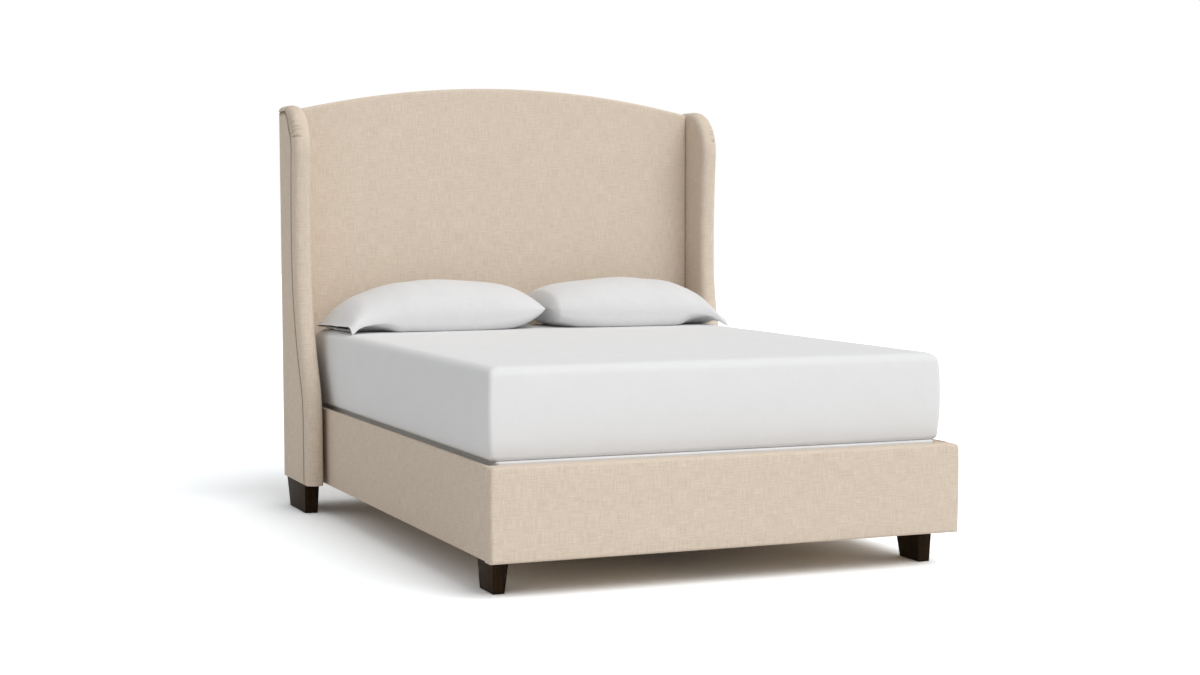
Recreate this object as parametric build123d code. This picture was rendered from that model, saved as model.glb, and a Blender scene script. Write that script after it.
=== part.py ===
# Upholstered wing bed with a lift-up storage base, queen size, millimetres.
# X runs across the bed, +Y towards the head, +Z up; the origin is on the floor under the bed's centre.
# Left is -X, as seen from the foot.
from build123d import *
import math
import os

# Overall sizes
bed_length = 2220
bed_width = 1730
headboard_height = 1603
arch_rise = 92
wing_rise = 19
wing_rail_gap = 21
rail_bottom = 109
rail_height = 285

# Headboard layers, front to back, and its frame
headboard_pad = 25
headboard_sheet = 12
headboard_frame_depth = 48
headboard_back = 4
headboard_cap = 12
headboard_side_radius = 22
headboard_top_radius = 10
post_width = 80
arch_rail_height = 110
cross_rail_height = 70
cross_rail_shares = (0, 0.42)

# Wings
wing_thickness = 60
wing_reach = 378
wing_flare = 140
wing_bend_share = 0.232
wing_neck_share = 0.644
wing_lower_curve_share = 0.27
wing_lean_degrees = 5.4
wing_corner_radius = 165
wing_roll_flat = 2
wing_seam_inset = 64
wing_seam_top_inset = 30
wing_core_thickness = 30
wing_core_inset = 26
wing_panel_thickness = 10

# Rails and footboard
rail_board = 18
rail_cover = 6
rail_edge_radius = 5
footboard_thickness = 60
footboard_front_pad = 10
footboard_corner_radius = 16
footboard_edge_radius = 9

# Legs
leg_glide_height = 4
leg_glide_inset = 4
front_leg_top_width = 44
front_leg_top_length = 145
front_leg_foot_width = 37
front_leg_foot_length = 122
front_leg_setback = 109
front_leg_side_setback = 36
back_leg_top_width = 55
back_leg_top_length = 275
back_leg_foot_width = 48
back_leg_foot_length = 231
back_leg_setback = 313
back_leg_side_setback = 2

# Inner base: blocks, cleats, floor and centre support
corner_block_width = 60
corner_block_length = 200
corner_block_height = 181
cleat_width = 35
cleat_height = 15
floor_board = 6
floor_edge_gap = 30
floor_joint = 2
floor_boards = 3
head_board_thickness = 20
head_board_height = 187
head_board_gap = 31
beam_width = 50
beam_wall = 2
center_leg_radius = 15
center_leg_foot_radius = 20
center_leg_foot_height = 12
center_leg_shares = (0.36, 0.62, 0.88)

# Lifting deck
foundation_thickness = 50
foundation_rise = 6
foundation_side_gap = 5
foundation_foot_gap = 18
foundation_head_gap = 15
foundation_corner_radius = 30
foundation_edge_radius = 9
slat_thickness = 12
slat_width = 60
slats = 14
deck_tube = 30
deck_tube_wall = 2
deck_side_gap = 32
deck_foot_gap = 20
deck_head_gap = 21
deck_cross_shares = (0.36, 0.7)
bumper_radius = 10
seat_gap = 0.3
strap_width = 40
strap_length = 80
strap_thickness = 2

# Lift linkage: setbacks are from the back of the headboard, drops from the top of the deck
arm_base_setback = 920
arm_base_rise = 31
rear_arm_base_setback = 680
rear_arm_base_rise = 171
strut_base_setback = 516
strut_base_rise = 31
arm_deck_setback = 507
arm_deck_drop = 145
rear_arm_deck_setback = 415
rear_arm_deck_drop = 75
strut_deck_setback = 320
strut_deck_drop = 101
lift_plate = 3
lift_plate_margin = 30
lift_plate_foot_margin = 14
arm_thickness = 5
arm_width = 25
arm_gap = 4
arm_side_gap = 1
pin_radius = 5
pin_head_radius = 8
pin_head_height = 2.5
pin_fit = 0.05
washer_gap = 0.3
slot_back_travel = 2.8
slot_out_travel = 12.5
slot_side_play = 0.8
strut_eye_play = 2.4
strut_eye_radius = 10.5
strut_eye_width = 10
strut_radius = 9
strut_bore_radius = 7.5
strut_rod_radius = 4
strut_stud_radius = 4
strut_neck = 16
strut_body_length = 208
strut_cap = 8
strut_guide_length = 12
strut_piston_length = 14

# Fasteners
bolt_radius = 4
bolt_head_radius = 7
bolt_head_height = 5
screw_radius = 3
screw_length = 15
screw_head_radius = 6
screw_head_height = 2
leg_bolt_depth = 45
leg_bolt_reach = 60
leg_bolt_shares = (0.25, 0.75)
bracket_leg = 50
bracket_height = 120
bracket_thickness = 3
bracket_bolt_shares = (0.25, 0.75)
wing_bolt_shares = (0.12, 0.38, 0.82)
dowel_radius = 5
dowel_depth = 40

# Mattress and pillows
mattress_side_gap = 22
mattress_foot_gap = 26
mattress_height = 280
mattress_corner_radius = 45
mattress_edge_radius = 27
mattress_head_gap = 13
pillow_depth = 345
pillow_height = 186
pillow_head_gap = 46
pillow_overhang = 6
pillow_right_overhang = 28
pillow_meeting_offset = 44
pillow_meeting_gap = 8
# Stations from a pillow's closed end to its open end: along, front, back, underside, top
pillow_stations_share = (
    (0, 0.12, 0.07, 0.36, 0.42),
    (0.07, 0.04, 0.02, 0.13, 0.66),
    (0.2, 0.01, 0, -0.02, 0.88),
    (0.45, 0, 0, -0.06, 1),
    (0.68, -0.02, 0, -0.06, 0.93),
    (0.84, -0.07, 0.01, -0.03, 0.68),
    (0.93, -0.13, 0.03, -0.01, 0.42),
    (1, -0.2, 0.05, 0.04, 0.12),
)
pillow_seam_share = 0.45

# Places that several pieces share
foot = -bed_length / 2
head = bed_length / 2
wing_outer = bed_width / 2
wing_inner = wing_outer - wing_thickness
wing_top = headboard_height - arch_rise + wing_rise
rail_outer = wing_inner - wing_rail_gap
rail_top = rail_bottom + rail_height
board_outer = rail_outer - rail_cover
board_inner = board_outer - rail_board
wing_core_outer = wing_outer - (wing_thickness - wing_core_thickness) / 2
wing_core_inner = wing_core_outer - wing_core_thickness
frame_back = head - headboard_back
frame_front = frame_back - headboard_frame_depth
sheet_front = frame_front - headboard_sheet
headboard_front = sheet_front - headboard_pad
footboard_back = foot + footboard_thickness
footboard_board_back = footboard_back - rail_cover
deck_z = rail_top + foundation_rise
slat_top = deck_z - foundation_thickness
slat_bottom = slat_top - slat_thickness
tube_bottom = slat_bottom - deck_tube
tube_outer = board_inner - deck_side_gap
tube_inner = tube_outer - deck_tube
deck_foot = footboard_back + deck_foot_gap
deck_head = headboard_front - deck_head_gap
cleat_top = rail_bottom + cleat_height
floor_top = cleat_top + floor_board
head_board_back = headboard_front - head_board_gap
head_board_front = head_board_back - head_board_thickness
head_board_top = rail_bottom + head_board_height
block_inner = board_inner - corner_block_width
block_back = footboard_back + corner_block_length
block_top = rail_bottom + corner_block_height
bracket_bottom = rail_bottom + (rail_height - bracket_height) / 2
bracket_top = bracket_bottom + bracket_height
bracket_front = headboard_front - bracket_thickness
plate_inner = board_inner - lift_plate
deck_plate_outer = tube_outer + lift_plate
front_arm_x = (deck_plate_outer + arm_side_gap, deck_plate_outer + arm_side_gap + arm_thickness)
rear_arm_x = (plate_inner - arm_gap - arm_thickness, plate_inner - arm_gap)
arm_base = (head - arm_base_setback, rail_bottom + arm_base_rise)
rear_arm_base = (head - rear_arm_base_setback, rail_bottom + rear_arm_base_rise)
strut_base = (head - strut_base_setback, rail_bottom + strut_base_rise)
arm_deck = (head - arm_deck_setback, deck_z - arm_deck_drop)
rear_arm_deck = (head - rear_arm_deck_setback, deck_z - rear_arm_deck_drop)
strut_deck = (head - strut_deck_setback, deck_z - strut_deck_drop)
strut_x = plate_inner - arm_gap / 2 - strut_radius
strut_eye_x = (strut_x - strut_eye_width / 2, strut_x + strut_eye_width / 2)
mattress_outer = rail_outer - mattress_side_gap


def block(x, y, z):
    size = (x[1] - x[0], y[1] - y[0], z[1] - z[0])
    return Pos((x[0] + x[1]) / 2, (y[0] + y[1]) / 2, (z[0] + z[1]) / 2) * Box(*size)


def left_of(shape):
    return mirror(shape, about=Plane.YZ)


def group(shapes):
    return Compound(children=[solid for shape in shapes for solid in shape.solids()])


def both_sides(shapes):
    return group([*shapes, *[left_of(shape) for shape in shapes]])


def side_plate(outline, x):
    # an outline drawn in Y and Z, as thick as the two X values are apart
    return extrude(Plane.YZ.offset(x[0]) * outline, amount=x[1] - x[0])


def bar(start, axis, length, radius):
    # a cylinder that starts at a point and runs along an axis
    turned = Plane(origin=start, z_dir=axis)
    return turned * Pos(0, 0, length / 2) * Cylinder(radius, length)


def cross_pin(place, x, radius):
    return bar((x[0], *place), (1, 0, 0), x[1] - x[0], radius)


def upright_pin(x, y, z, radius):
    return bar((x, y, z[0]), (0, 0, 1), z[1] - z[0], radius)


def long_pin(x, y, z, radius):
    return bar((x, y[0], z), (0, 1, 0), y[1] - y[0], radius)


def along(start, end, share):
    return start + (end - start) * share


# Headboard

def arch_slab(half_width, bottom, crown, y):
    # an upright slab with a shallow arched top
    end = crown - arch_rise
    outline = Polyline((-half_width, end), (-half_width, bottom), (half_width, bottom), (half_width, end))
    top = ThreePointArc((half_width, end), (0, crown), (-half_width, end))
    face = make_face([*outline.edges(), top])
    return extrude(Plane.XZ.offset(-y[0]) * face, amount=y[0] - y[1])


def headboard_outer():
    slab = arch_slab(wing_inner, rail_bottom, headboard_height, (headboard_front, frame_back))
    front = slab.faces().sort_by(Axis.Y)[0]
    sides = front.edges().filter_by(Axis.Z)
    slab = fillet(sides, headboard_side_radius)
    rim = [edge for edge in slab.faces().sort_by(Axis.Y)[0].edges() if edge.geom_type == GeomType.CIRCLE]
    return fillet(rim, headboard_top_radius)


def headboard_frame_space():
    crown = headboard_height - headboard_cap
    return arch_slab(wing_inner, rail_bottom, crown, (sheet_front, frame_back))


def hook_places():
    x = board_inner - bracket_leg / 2
    return [(x, along(bracket_bottom, bracket_top, share)) for share in bracket_bolt_shares]


def hook_bolts():
    return [long_pin(x, (bracket_front, frame_back), z, bolt_radius) for x, z in hook_places()]


def wing_bolt_places():
    low, high = rail_bottom, wing_top - wing_corner_radius
    y = (frame_front + frame_back) / 2
    return [(y, along(low, high, share)) for share in wing_bolt_shares]


def wing_bolts():
    x = (wing_inner - post_width, wing_core_outer)
    return [cross_pin(place, x, bolt_radius) for place in wing_bolt_places()]


def cut_all(shape, tools):
    for tool in tools:
        shape = shape - tool
    return shape


def cut_both(shape, tools):
    return cut_all(shape, [*tools, *[left_of(tool) for tool in tools]])


def headboard():
    space = headboard_frame_space()
    pad = cut_both(headboard_outer() - space, hook_bolts())
    crown = headboard_height - headboard_cap
    sheet = arch_slab(wing_inner, rail_bottom, crown, (sheet_front, frame_front))
    sheet = cut_both(sheet, hook_bolts())
    frame = arch_slab(wing_inner, rail_bottom, crown, (frame_front, frame_back))
    arch_rail_bottom = crown - arch_rise - arch_rail_height + post_width
    whole_y = (frame_front, frame_back)
    below = block((-wing_inner, wing_inner), whole_y, (rail_bottom, arch_rail_bottom))
    arch_rail = frame - below
    post = block((wing_inner - post_width, wing_inner), whole_y, (rail_bottom, arch_rail_bottom))
    post = cut_all(post, [*hook_bolts(), *wing_bolts()])
    between = (post_width - wing_inner, wing_inner - post_width)
    rails = []
    for share in cross_rail_shares:
        low = along(rail_bottom, arch_rail_bottom, share)
        rails.append(block(between, whole_y, (low, low + cross_rail_height)))
    back = arch_slab(wing_inner, rail_bottom, headboard_height - headboard_top_radius, (frame_back, head))
    return {
        "headboard_pad": pad,
        "headboard_sheet": sheet,
        "headboard_post_right": post,
        "headboard_post_left": left_of(post),
        "headboard_arch_rail": arch_rail,
        "headboard_cross_rails": group(rails),
        "headboard_back_panel": back,
    }


# Wings

def wing_outline(inset, top_inset):
    # front edge: upright, a long S curve to the neck, a slight forward lean, then the rounded top corner
    bend_z = wing_top * wing_bend_share
    neck_z = wing_top * wing_neck_share
    turn = 2 * math.atan(wing_flare / (neck_z - bend_z))
    radii = (neck_z - bend_z) / math.sin(turn)
    low_radius = radii * wing_lower_curve_share - inset
    high_radius = radii * (1 - wing_lower_curve_share) + inset
    lean = math.radians(wing_lean_degrees)
    corner = wing_corner_radius - inset
    top = wing_top - top_inset
    lean_top = top - corner * (1 + math.sin(lean))
    lean_radius = (lean_top - neck_z) / math.sin(lean)
    front = head - wing_reach + inset
    swing = 1 - math.cos(turn)
    bend = (front, bend_z)
    middle = (front + low_radius * swing, bend_z + low_radius * math.sin(turn))
    neck = (middle[0] + high_radius * swing, neck_z)
    brow = (neck[0] - lean_radius * (1 - math.cos(lean)), lean_top)
    crest = (brow[0] + corner * math.cos(lean), top)
    edges = [
        Line((front, rail_bottom), bend),
        TangentArc(bend, middle, tangent=(0, 1)),
        TangentArc(middle, neck, tangent=(math.sin(turn), math.cos(turn))),
        TangentArc(neck, brow, tangent=(0, 1)),
        TangentArc(brow, crest, tangent=(-math.sin(lean), math.cos(lean))),
        Line(crest, (head, top)),
        Line((head, top), (head, rail_bottom)),
        Line((head, rail_bottom), (front, rail_bottom)),
    ]
    return make_face(edges)


def is_wing_front(edge):
    middle = edge.center()
    return middle.Z > rail_bottom and middle.Y < head


def wing_outer_shape():
    body = side_plate(wing_outline(0, 0), (wing_inner, wing_outer))
    rims = []
    for face in (body.faces().sort_by(Axis.X)[0], body.faces().sort_by(Axis.X)[-1]):
        rims += [edge for edge in face.edges() if is_wing_front(edge)]
    return fillet(rims, (wing_thickness - wing_roll_flat) / 2)


def wing():
    core = side_plate(wing_outline(wing_core_inset, wing_core_inset), (wing_core_inner, wing_core_outer))
    seam_x = wing_outer - wing_panel_thickness
    panel = side_plate(wing_outline(wing_seam_inset, wing_seam_top_inset), (seam_x, wing_outer))
    pad = cut_all(wing_outer_shape() - core - panel, wing_bolts())
    core = cut_all(core, [*wing_bolts(), *back_leg_bolts()])
    return {"core": core, "panel": panel, "pad": pad}


def wings():
    pieces = wing()
    parts = {}
    for name, node in (("core", "wing_core"), ("panel", "wing_side_panel"), ("pad", "wing_cover")):
        parts[f"{node}_right"] = pieces[name]
        parts[f"{node}_left"] = left_of(pieces[name])
    return parts


# Rails and footboard

def side_rail():
    y = (footboard_back, headboard_front)
    board_z = (rail_bottom + rail_cover, rail_top - rail_cover)
    board = block((board_inner, board_outer), y, board_z)
    board = cut_all(board, [*block_bolts(), *bracket_bolts(), *lift_screws()])
    outer_y = (foot + footboard_corner_radius, headboard_front)
    skin = block((board_outer, rail_outer), outer_y, (rail_bottom, rail_top))
    top_edge = skin.faces().sort_by(Axis.Z)[-1].edges().filter_by(Axis.Y).sort_by(Axis.X)[-1]
    turned_in = block((board_inner, board_outer), y, (rail_bottom, rail_top))
    cover = fillet(top_edge, rail_edge_radius) + turned_in - block((board_inner, board_outer), y, board_z)
    return board, cover


def footboard():
    board_z = (rail_bottom + rail_cover, rail_top - rail_cover)
    board_y = (foot + footboard_front_pad, footboard_board_back)
    board = block((-board_outer, board_outer), board_y, board_z)
    whole = block((-rail_outer, rail_outer), (foot, footboard_back), (rail_bottom, rail_top))
    corners = whole.faces().sort_by(Axis.Y)[0].edges().filter_by(Axis.Z)
    whole = fillet(corners, footboard_corner_radius)
    rim = whole.faces().sort_by(Axis.Z)[-1].edges()
    front_rim = [edge for edge in rim if edge.center().Y < foot + footboard_corner_radius]
    whole = fillet(front_rim, footboard_edge_radius)
    side_y = (foot + footboard_corner_radius, footboard_back)
    side = block((board_outer, rail_outer), side_y, (rail_bottom, rail_top))
    cover = whole - board - side - left_of(side)
    return cut_both(board, dowels()), cut_both(cover, dowels())


# Legs

def leg(outer, front, top, bottom):
    # the outer and front faces stand upright; the inner and rear faces taper
    def outline(size, z):
        inner, rear = outer - size[0], front + size[1]
        corners = [(outer, front), (outer, rear), (inner, rear), (inner, front)]
        return Plane.XY.offset(z) * make_face(Polyline(*corners, close=True))
    return loft([outline(bottom, leg_glide_height), outline(top, rail_bottom)], ruled=True)


def leg_bolt_row(x, front, length):
    z = (rail_bottom - leg_bolt_depth, rail_bottom + leg_bolt_reach)
    return [upright_pin(x, front + share * length, z, bolt_radius) for share in leg_bolt_shares]


def front_leg_bolts():
    x = rail_outer - front_leg_side_setback - front_leg_foot_width / 2
    return leg_bolt_row(x, foot + front_leg_setback, front_leg_foot_length)


def back_leg_bolts():
    x = (wing_core_inner + wing_core_outer) / 2
    return leg_bolt_row(x, head - back_leg_setback, back_leg_foot_length)


def legs():
    front_top = (front_leg_top_width, front_leg_top_length)
    front_foot = (front_leg_foot_width, front_leg_foot_length)
    back_top = (back_leg_top_width, back_leg_top_length)
    back_foot = (back_leg_foot_width, back_leg_foot_length)
    front_x, front_y = rail_outer - front_leg_side_setback, foot + front_leg_setback
    back_x, back_y = wing_outer - back_leg_side_setback, head - back_leg_setback
    front = cut_all(leg(front_x, front_y, front_top, front_foot), front_leg_bolts())
    back = cut_all(leg(back_x, back_y, back_top, back_foot), back_leg_bolts())
    glides = [leg_glide(front_x, front_y, front_foot), leg_glide(back_x, back_y, back_foot)]
    return {
        "front_leg_right": front,
        "front_leg_left": left_of(front),
        "back_leg_right": back,
        "back_leg_left": left_of(back),
        "leg_glides": both_sides(glides),
        "leg_bolts": both_sides([*front_leg_bolts(), *back_leg_bolts()]),
    }


def leg_glide(outer, front, size):
    x = (outer - size[0] + leg_glide_inset, outer - leg_glide_inset)
    y = (front + leg_glide_inset, front + size[1] - leg_glide_inset)
    return block(x, y, (0, leg_glide_height))


# Inner base

def block_bolts():
    y = (footboard_back + block_back) / 2
    heights = [along(rail_bottom + leg_bolt_reach, block_top, share) for share in bracket_bolt_shares]
    return [cross_pin((y, z), (block_inner, board_outer), bolt_radius) for z in heights]


def dowels():
    x = (block_inner + board_inner) / 2
    y = (foot + footboard_front_pad, footboard_back + dowel_depth)
    heights = [along(rail_bottom, block_top, share) for share in bracket_bolt_shares]
    return [long_pin(x, y, z, dowel_radius) for z in heights]


def corner_piece():
    piece = block((block_inner, board_inner), (footboard_back, block_back), (rail_bottom, block_top))
    return cut_all(piece, [*block_bolts(), *dowels(), *front_leg_bolts()])


def bracket_bolts():
    y = headboard_front - bracket_leg / 3
    x = (board_inner - bracket_thickness, board_outer)
    heights = [along(bracket_bottom, bracket_top, share) for share in bracket_bolt_shares]
    return [cross_pin((y, z), x, bolt_radius) for z in heights]


def head_bracket():
    whole_x = (board_inner - bracket_leg, board_inner)
    whole_y = (headboard_front - bracket_leg, headboard_front)
    on_rail = block((board_inner - bracket_thickness, board_inner), whole_y, (bracket_bottom, bracket_top))
    on_pad = block(whole_x, (bracket_front, headboard_front), (bracket_bottom, bracket_top))
    return cut_all(on_rail + on_pad, [*bracket_bolts(), *hook_bolts()])


def frame_bolts():
    bolts = []
    for bolt in [*block_bolts(), *bracket_bolts(), *wing_bolts()]:
        place, inner = bolt.center(), bolt.bounding_box().min.X
        head_x = (inner - bolt_head_height, inner)
        bolts.append(bolt + cross_pin((place.Y, place.Z), head_x, bolt_head_radius))
    for bolt in hook_bolts():
        place, head_y = bolt.center(), (bracket_front - bolt_head_height, bracket_front)
        bolts.append(bolt + long_pin(place.X, head_y, place.Z, bolt_head_radius))
    return both_sides(bolts)


def cleats():
    span, z = board_inner - cleat_width, (rail_bottom, cleat_top)
    side = block((span, board_inner), (block_back, head_board_front), z)
    at_foot = block((-block_inner, block_inner), (footboard_back, footboard_back + cleat_width), z)
    at_head = block((-span, span), (head_board_front - cleat_width, head_board_front), z)
    return group([side, left_of(side), at_foot, at_head])


def floor_panels():
    half = board_inner - floor_edge_gap
    start, end = footboard_back + floor_joint, head_board_front - floor_joint
    length = (end - start - floor_joint * (floor_boards - 1)) / floor_boards
    notch_x = (block_inner - floor_joint, board_inner)
    notch = block(notch_x, (footboard_back, block_back + floor_joint), (cleat_top, floor_top))
    panels = []
    for number in range(floor_boards):
        front = start + number * (length + floor_joint)
        panel = block((-half, half), (front, front + length), (cleat_top, floor_top))
        panels.append(cut_both(panel, [notch]))
    return panels


def head_board():
    half = board_inner - bracket_thickness
    return block((-half, half), (head_board_front, head_board_back), (rail_bottom, head_board_top))


def center_beam():
    y = (footboard_back + cleat_width, head_board_front - cleat_width)
    half = beam_width / 2
    tube = block((-half, half), y, (rail_bottom, cleat_top))
    bore = block((beam_wall - half, half - beam_wall), y, (rail_bottom + beam_wall, cleat_top - beam_wall))
    return tube - bore


def center_legs():
    places = [along(foot, head, share) for share in center_leg_shares]
    posts = [upright_pin(0, y, (center_leg_foot_height, rail_bottom), center_leg_radius) for y in places]
    feet = [upright_pin(0, y, (0, center_leg_foot_height), center_leg_foot_radius) for y in places]
    return group(posts), group(feet)


def bumpers():
    x = (tube_inner + tube_outer) / 2
    top = tube_bottom - seat_gap
    at_foot = upright_pin(x, (footboard_back + block_back) / 2, (block_top, top), bumper_radius)
    at_head = upright_pin(x, (head_board_front + head_board_back) / 2, (head_board_top, top), bumper_radius)
    return both_sides([at_foot, at_head])


def inner_base():
    posts, feet = center_legs()
    return {
        "corner_blocks": both_sides([corner_piece()]),
        "footboard_dowels": both_sides(dowels()),
        "head_brackets": both_sides([head_bracket()]),
        "frame_bolts": frame_bolts(),
        "floor_cleats": cleats(),
        "storage_head_board": head_board(),
        "center_beam": center_beam(),
        "center_legs": posts,
        "center_leg_feet": feet,
        "floor_panels": group(floor_panels()),
        "deck_bumpers": bumpers(),
    }


# Lift linkage

def link_outline(start, end, width):
    separation = math.dist(start, end)
    angle = math.degrees(math.atan2(end[1] - start[1], end[0] - start[0]))
    middle = ((start[0] + end[0]) / 2, (start[1] + end[1]) / 2)
    return Pos(*middle) * Rot(0, 0, angle) * SlotCenterToCenter(separation, width)


def link_plate(start, end, x):
    return side_plate(link_outline(start, end, arm_width), x)


def through(place, radius):
    return cross_pin(place, (tube_inner, board_outer), radius)


def front_arm():
    arm = link_plate(arm_base, arm_deck, front_arm_x)
    return arm - through(arm_base, pin_radius + pin_fit) - through(arm_deck, pin_radius + pin_fit)


def rear_arm():
    # its deck end is slotted, because the deck pin's distance from the base pivot changes a little
    length = math.dist(rear_arm_base, rear_arm_deck)
    direction = [(b - a) / length for a, b in zip(rear_arm_base, rear_arm_deck)]
    inner = [place - slot_back_travel * way for place, way in zip(rear_arm_deck, direction)]
    outer = [place + slot_out_travel * way for place, way in zip(rear_arm_deck, direction)]
    slot_outline = link_outline(inner, outer, 2 * (pin_radius + slot_side_play))
    slot = side_plate(slot_outline, (tube_outer, board_inner))
    return link_plate(rear_arm_base, outer, rear_arm_x) - through(rear_arm_base, pin_radius + pin_fit) - slot


def lift_base_outline():
    margin = lift_plate_margin
    low = arm_base[1] - lift_plate_foot_margin
    corners = [
        (arm_base[0] - margin, low),
        (strut_base[0] + margin, low),
        (strut_base[0] + margin, strut_base[1] + margin),
        (rear_arm_base[0] + margin, rear_arm_base[1] + lift_plate_foot_margin),
        (rear_arm_base[0] - margin, rear_arm_base[1] + lift_plate_foot_margin),
        (arm_base[0] - margin, arm_base[1] + margin),
    ]
    return make_face(Polyline(*corners, close=True))


def lift_screw_places():
    low = [(along(arm_base[0], strut_base[0], share), arm_base[1]) for share in bracket_bolt_shares]
    return [*low, (rear_arm_base[0], rear_arm_base[1] - lift_plate_margin)]


def lift_screws():
    x = (plate_inner, board_inner + screw_length)
    return [cross_pin(place, x, screw_radius) for place in lift_screw_places()]


def lift_base():
    return cut_all(side_plate(lift_base_outline(), (plate_inner, board_inner)), lift_screws())


def lift_screw_set():
    x = (plate_inner - screw_head_height, plate_inner)
    heads = [cross_pin(place, x, screw_head_radius) for place in lift_screw_places()]
    return both_sides([screw + head for screw, head in zip(lift_screws(), heads)])


def base_pins():
    # each pin stands on its plate: a collar, the shank through the link, and a head past it
    return both_sides([
        base_pin(arm_base, front_arm_x, pin_radius),
        base_pin(rear_arm_base, rear_arm_x, pin_radius),
        base_pin(strut_base, strut_eye_x, strut_stud_radius),
    ])


def base_pin(place, link_x, radius):
    end = link_x[0] - washer_gap
    collar = cross_pin(place, (link_x[1] + washer_gap, plate_inner), pin_head_radius)
    pin_end = cross_pin(place, (end - pin_head_height, end), pin_head_radius)
    return collar + cross_pin(place, (end, plate_inner), radius) + pin_end


def deck_pins():
    return both_sides([
        deck_pin(arm_deck, front_arm_x, pin_radius),
        deck_pin(rear_arm_deck, rear_arm_x, pin_radius),
        deck_pin(strut_deck, strut_eye_x, strut_stud_radius),
    ])


def deck_pin(place, link_x, radius):
    end = link_x[1] + washer_gap
    collar = cross_pin(place, (deck_plate_outer, link_x[0] - washer_gap), pin_head_radius)
    pin_end = cross_pin(place, (end, end + pin_head_height), pin_head_radius)
    return collar + cross_pin(place, (deck_plate_outer, end), radius) + pin_end


def deck_plate():
    margin, drop = lift_plate_margin, lift_plate_foot_margin
    corners = [
        (arm_deck[0] - margin, slat_bottom),
        (arm_deck[0] - margin, arm_deck[1] - drop),
        (arm_deck[0] + margin, arm_deck[1] - drop),
        (strut_deck[0] + margin, strut_deck[1] - drop),
        (strut_deck[0] + margin, slat_bottom),
    ]
    return side_plate(make_face(Polyline(*corners, close=True)), (tube_outer, deck_plate_outer))


def strut_axis():
    length = math.dist(strut_base, strut_deck)
    return length, (0, (strut_deck[0] - strut_base[0]) / length, (strut_deck[1] - strut_base[1]) / length)


def strut_bar(start, end, radius):
    # a round bar along the strut, between two distances from its base pivot
    axis = strut_axis()[1]
    origin = (strut_x, strut_base[0] + axis[1] * start, strut_base[1] + axis[2] * start)
    return bar(origin, axis, end - start, radius)


def strut_eye(place):
    return cross_pin(place, strut_eye_x, strut_eye_radius)


def gas_cylinder():
    end = strut_neck + strut_body_length
    guide = end - strut_guide_length
    body = strut_bar(strut_neck, end, strut_radius) + strut_eye(strut_base)
    body += strut_bar(0, strut_neck, strut_rod_radius)
    body -= strut_bar(strut_neck + strut_cap, guide, strut_bore_radius)
    body -= strut_bar(guide, end, strut_rod_radius + pin_fit)
    return body - through(strut_base, strut_stud_radius + pin_fit)


def gas_rod():
    piston = strut_neck + strut_cap + strut_guide_length
    length = strut_axis()[0]
    rod = strut_bar(piston, length, strut_rod_radius) + strut_eye(strut_deck)
    rod += strut_bar(piston, piston + strut_piston_length, strut_bore_radius - pin_fit)
    return rod - through(strut_deck, strut_stud_radius + strut_eye_play)


def lift():
    parts = {"base_pivot_pins": base_pins(), "deck_pivot_pins": deck_pins(), "lift_screws": lift_screw_set()}
    pieces = (
        ("lift_base_plate", lift_base()),
        ("lift_front_arm", front_arm()),
        ("lift_rear_arm", rear_arm()),
        ("lift_deck_plate", deck_plate()),
        ("gas_cylinder", gas_cylinder()),
        ("gas_rod", gas_rod()),
    )
    for node, shape in pieces:
        parts[f"{node}_right"] = shape
        parts[f"{node}_left"] = left_of(shape)
    return parts


# Lifting deck

def deck_side_tube():
    wall, y = deck_tube_wall, (deck_foot, deck_head)
    bore = block((tube_inner + wall, tube_outer - wall), y, (tube_bottom + wall, slat_bottom - wall))
    return block((tube_inner, tube_outer), y, (tube_bottom, slat_bottom)) - bore


def deck_cross_tubes():
    last = deck_head - deck_tube
    starts = [deck_foot, *[along(deck_foot, last, share) for share in deck_cross_shares], last]
    wall, x = deck_tube_wall, (-tube_inner, tube_inner)
    tubes = []
    for y in starts:
        tube = block(x, (y, y + deck_tube), (tube_bottom, slat_bottom))
        bore = block(x, (y + wall, y + deck_tube - wall), (tube_bottom + wall, slat_bottom - wall))
        tubes.append(tube - bore)
    return group(tubes)


def slat_set():
    pitch = (deck_head - deck_foot - slat_width) / (slats - 1)
    starts = [deck_foot + number * pitch for number in range(slats)]
    x, z = (-tube_outer, tube_outer), (slat_bottom, slat_top)
    return group([block(x, (y, y + slat_width), z) for y in starts])


def rounded_slab(x, y, z, corner, edge):
    slab = fillet(block(x, y, z).edges().filter_by(Axis.Z), corner)
    rims = [*slab.faces().sort_by(Axis.Z)[0].edges(), *slab.faces().sort_by(Axis.Z)[-1].edges()]
    return fillet(rims, edge)


def foundation():
    half = board_inner - foundation_side_gap
    y = (footboard_back + foundation_foot_gap, headboard_front - foundation_head_gap)
    z = (slat_top, deck_z)
    return rounded_slab((-half, half), y, z, foundation_corner_radius, foundation_edge_radius)


def pull_strap():
    # a doubled webbing loop on the foundation's edge, in the gap behind the footboard
    back = footboard_back + foundation_foot_gap
    front = back - 2 * strap_thickness - seat_gap
    x = (-strap_width / 2, strap_width / 2)
    top = deck_z - foundation_edge_radius
    low = top - strap_length
    slit_y = (front + strap_thickness, back - strap_thickness)
    return block(x, (front, back), (low, top)) - block(x, slit_y, (low + strap_thickness, top))


def mattress():
    x = (-mattress_outer, mattress_outer)
    y = (footboard_back + mattress_foot_gap, headboard_front - mattress_head_gap)
    z = (deck_z, deck_z + mattress_height)
    return rounded_slab(x, y, z, mattress_corner_radius, mattress_edge_radius)


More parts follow.
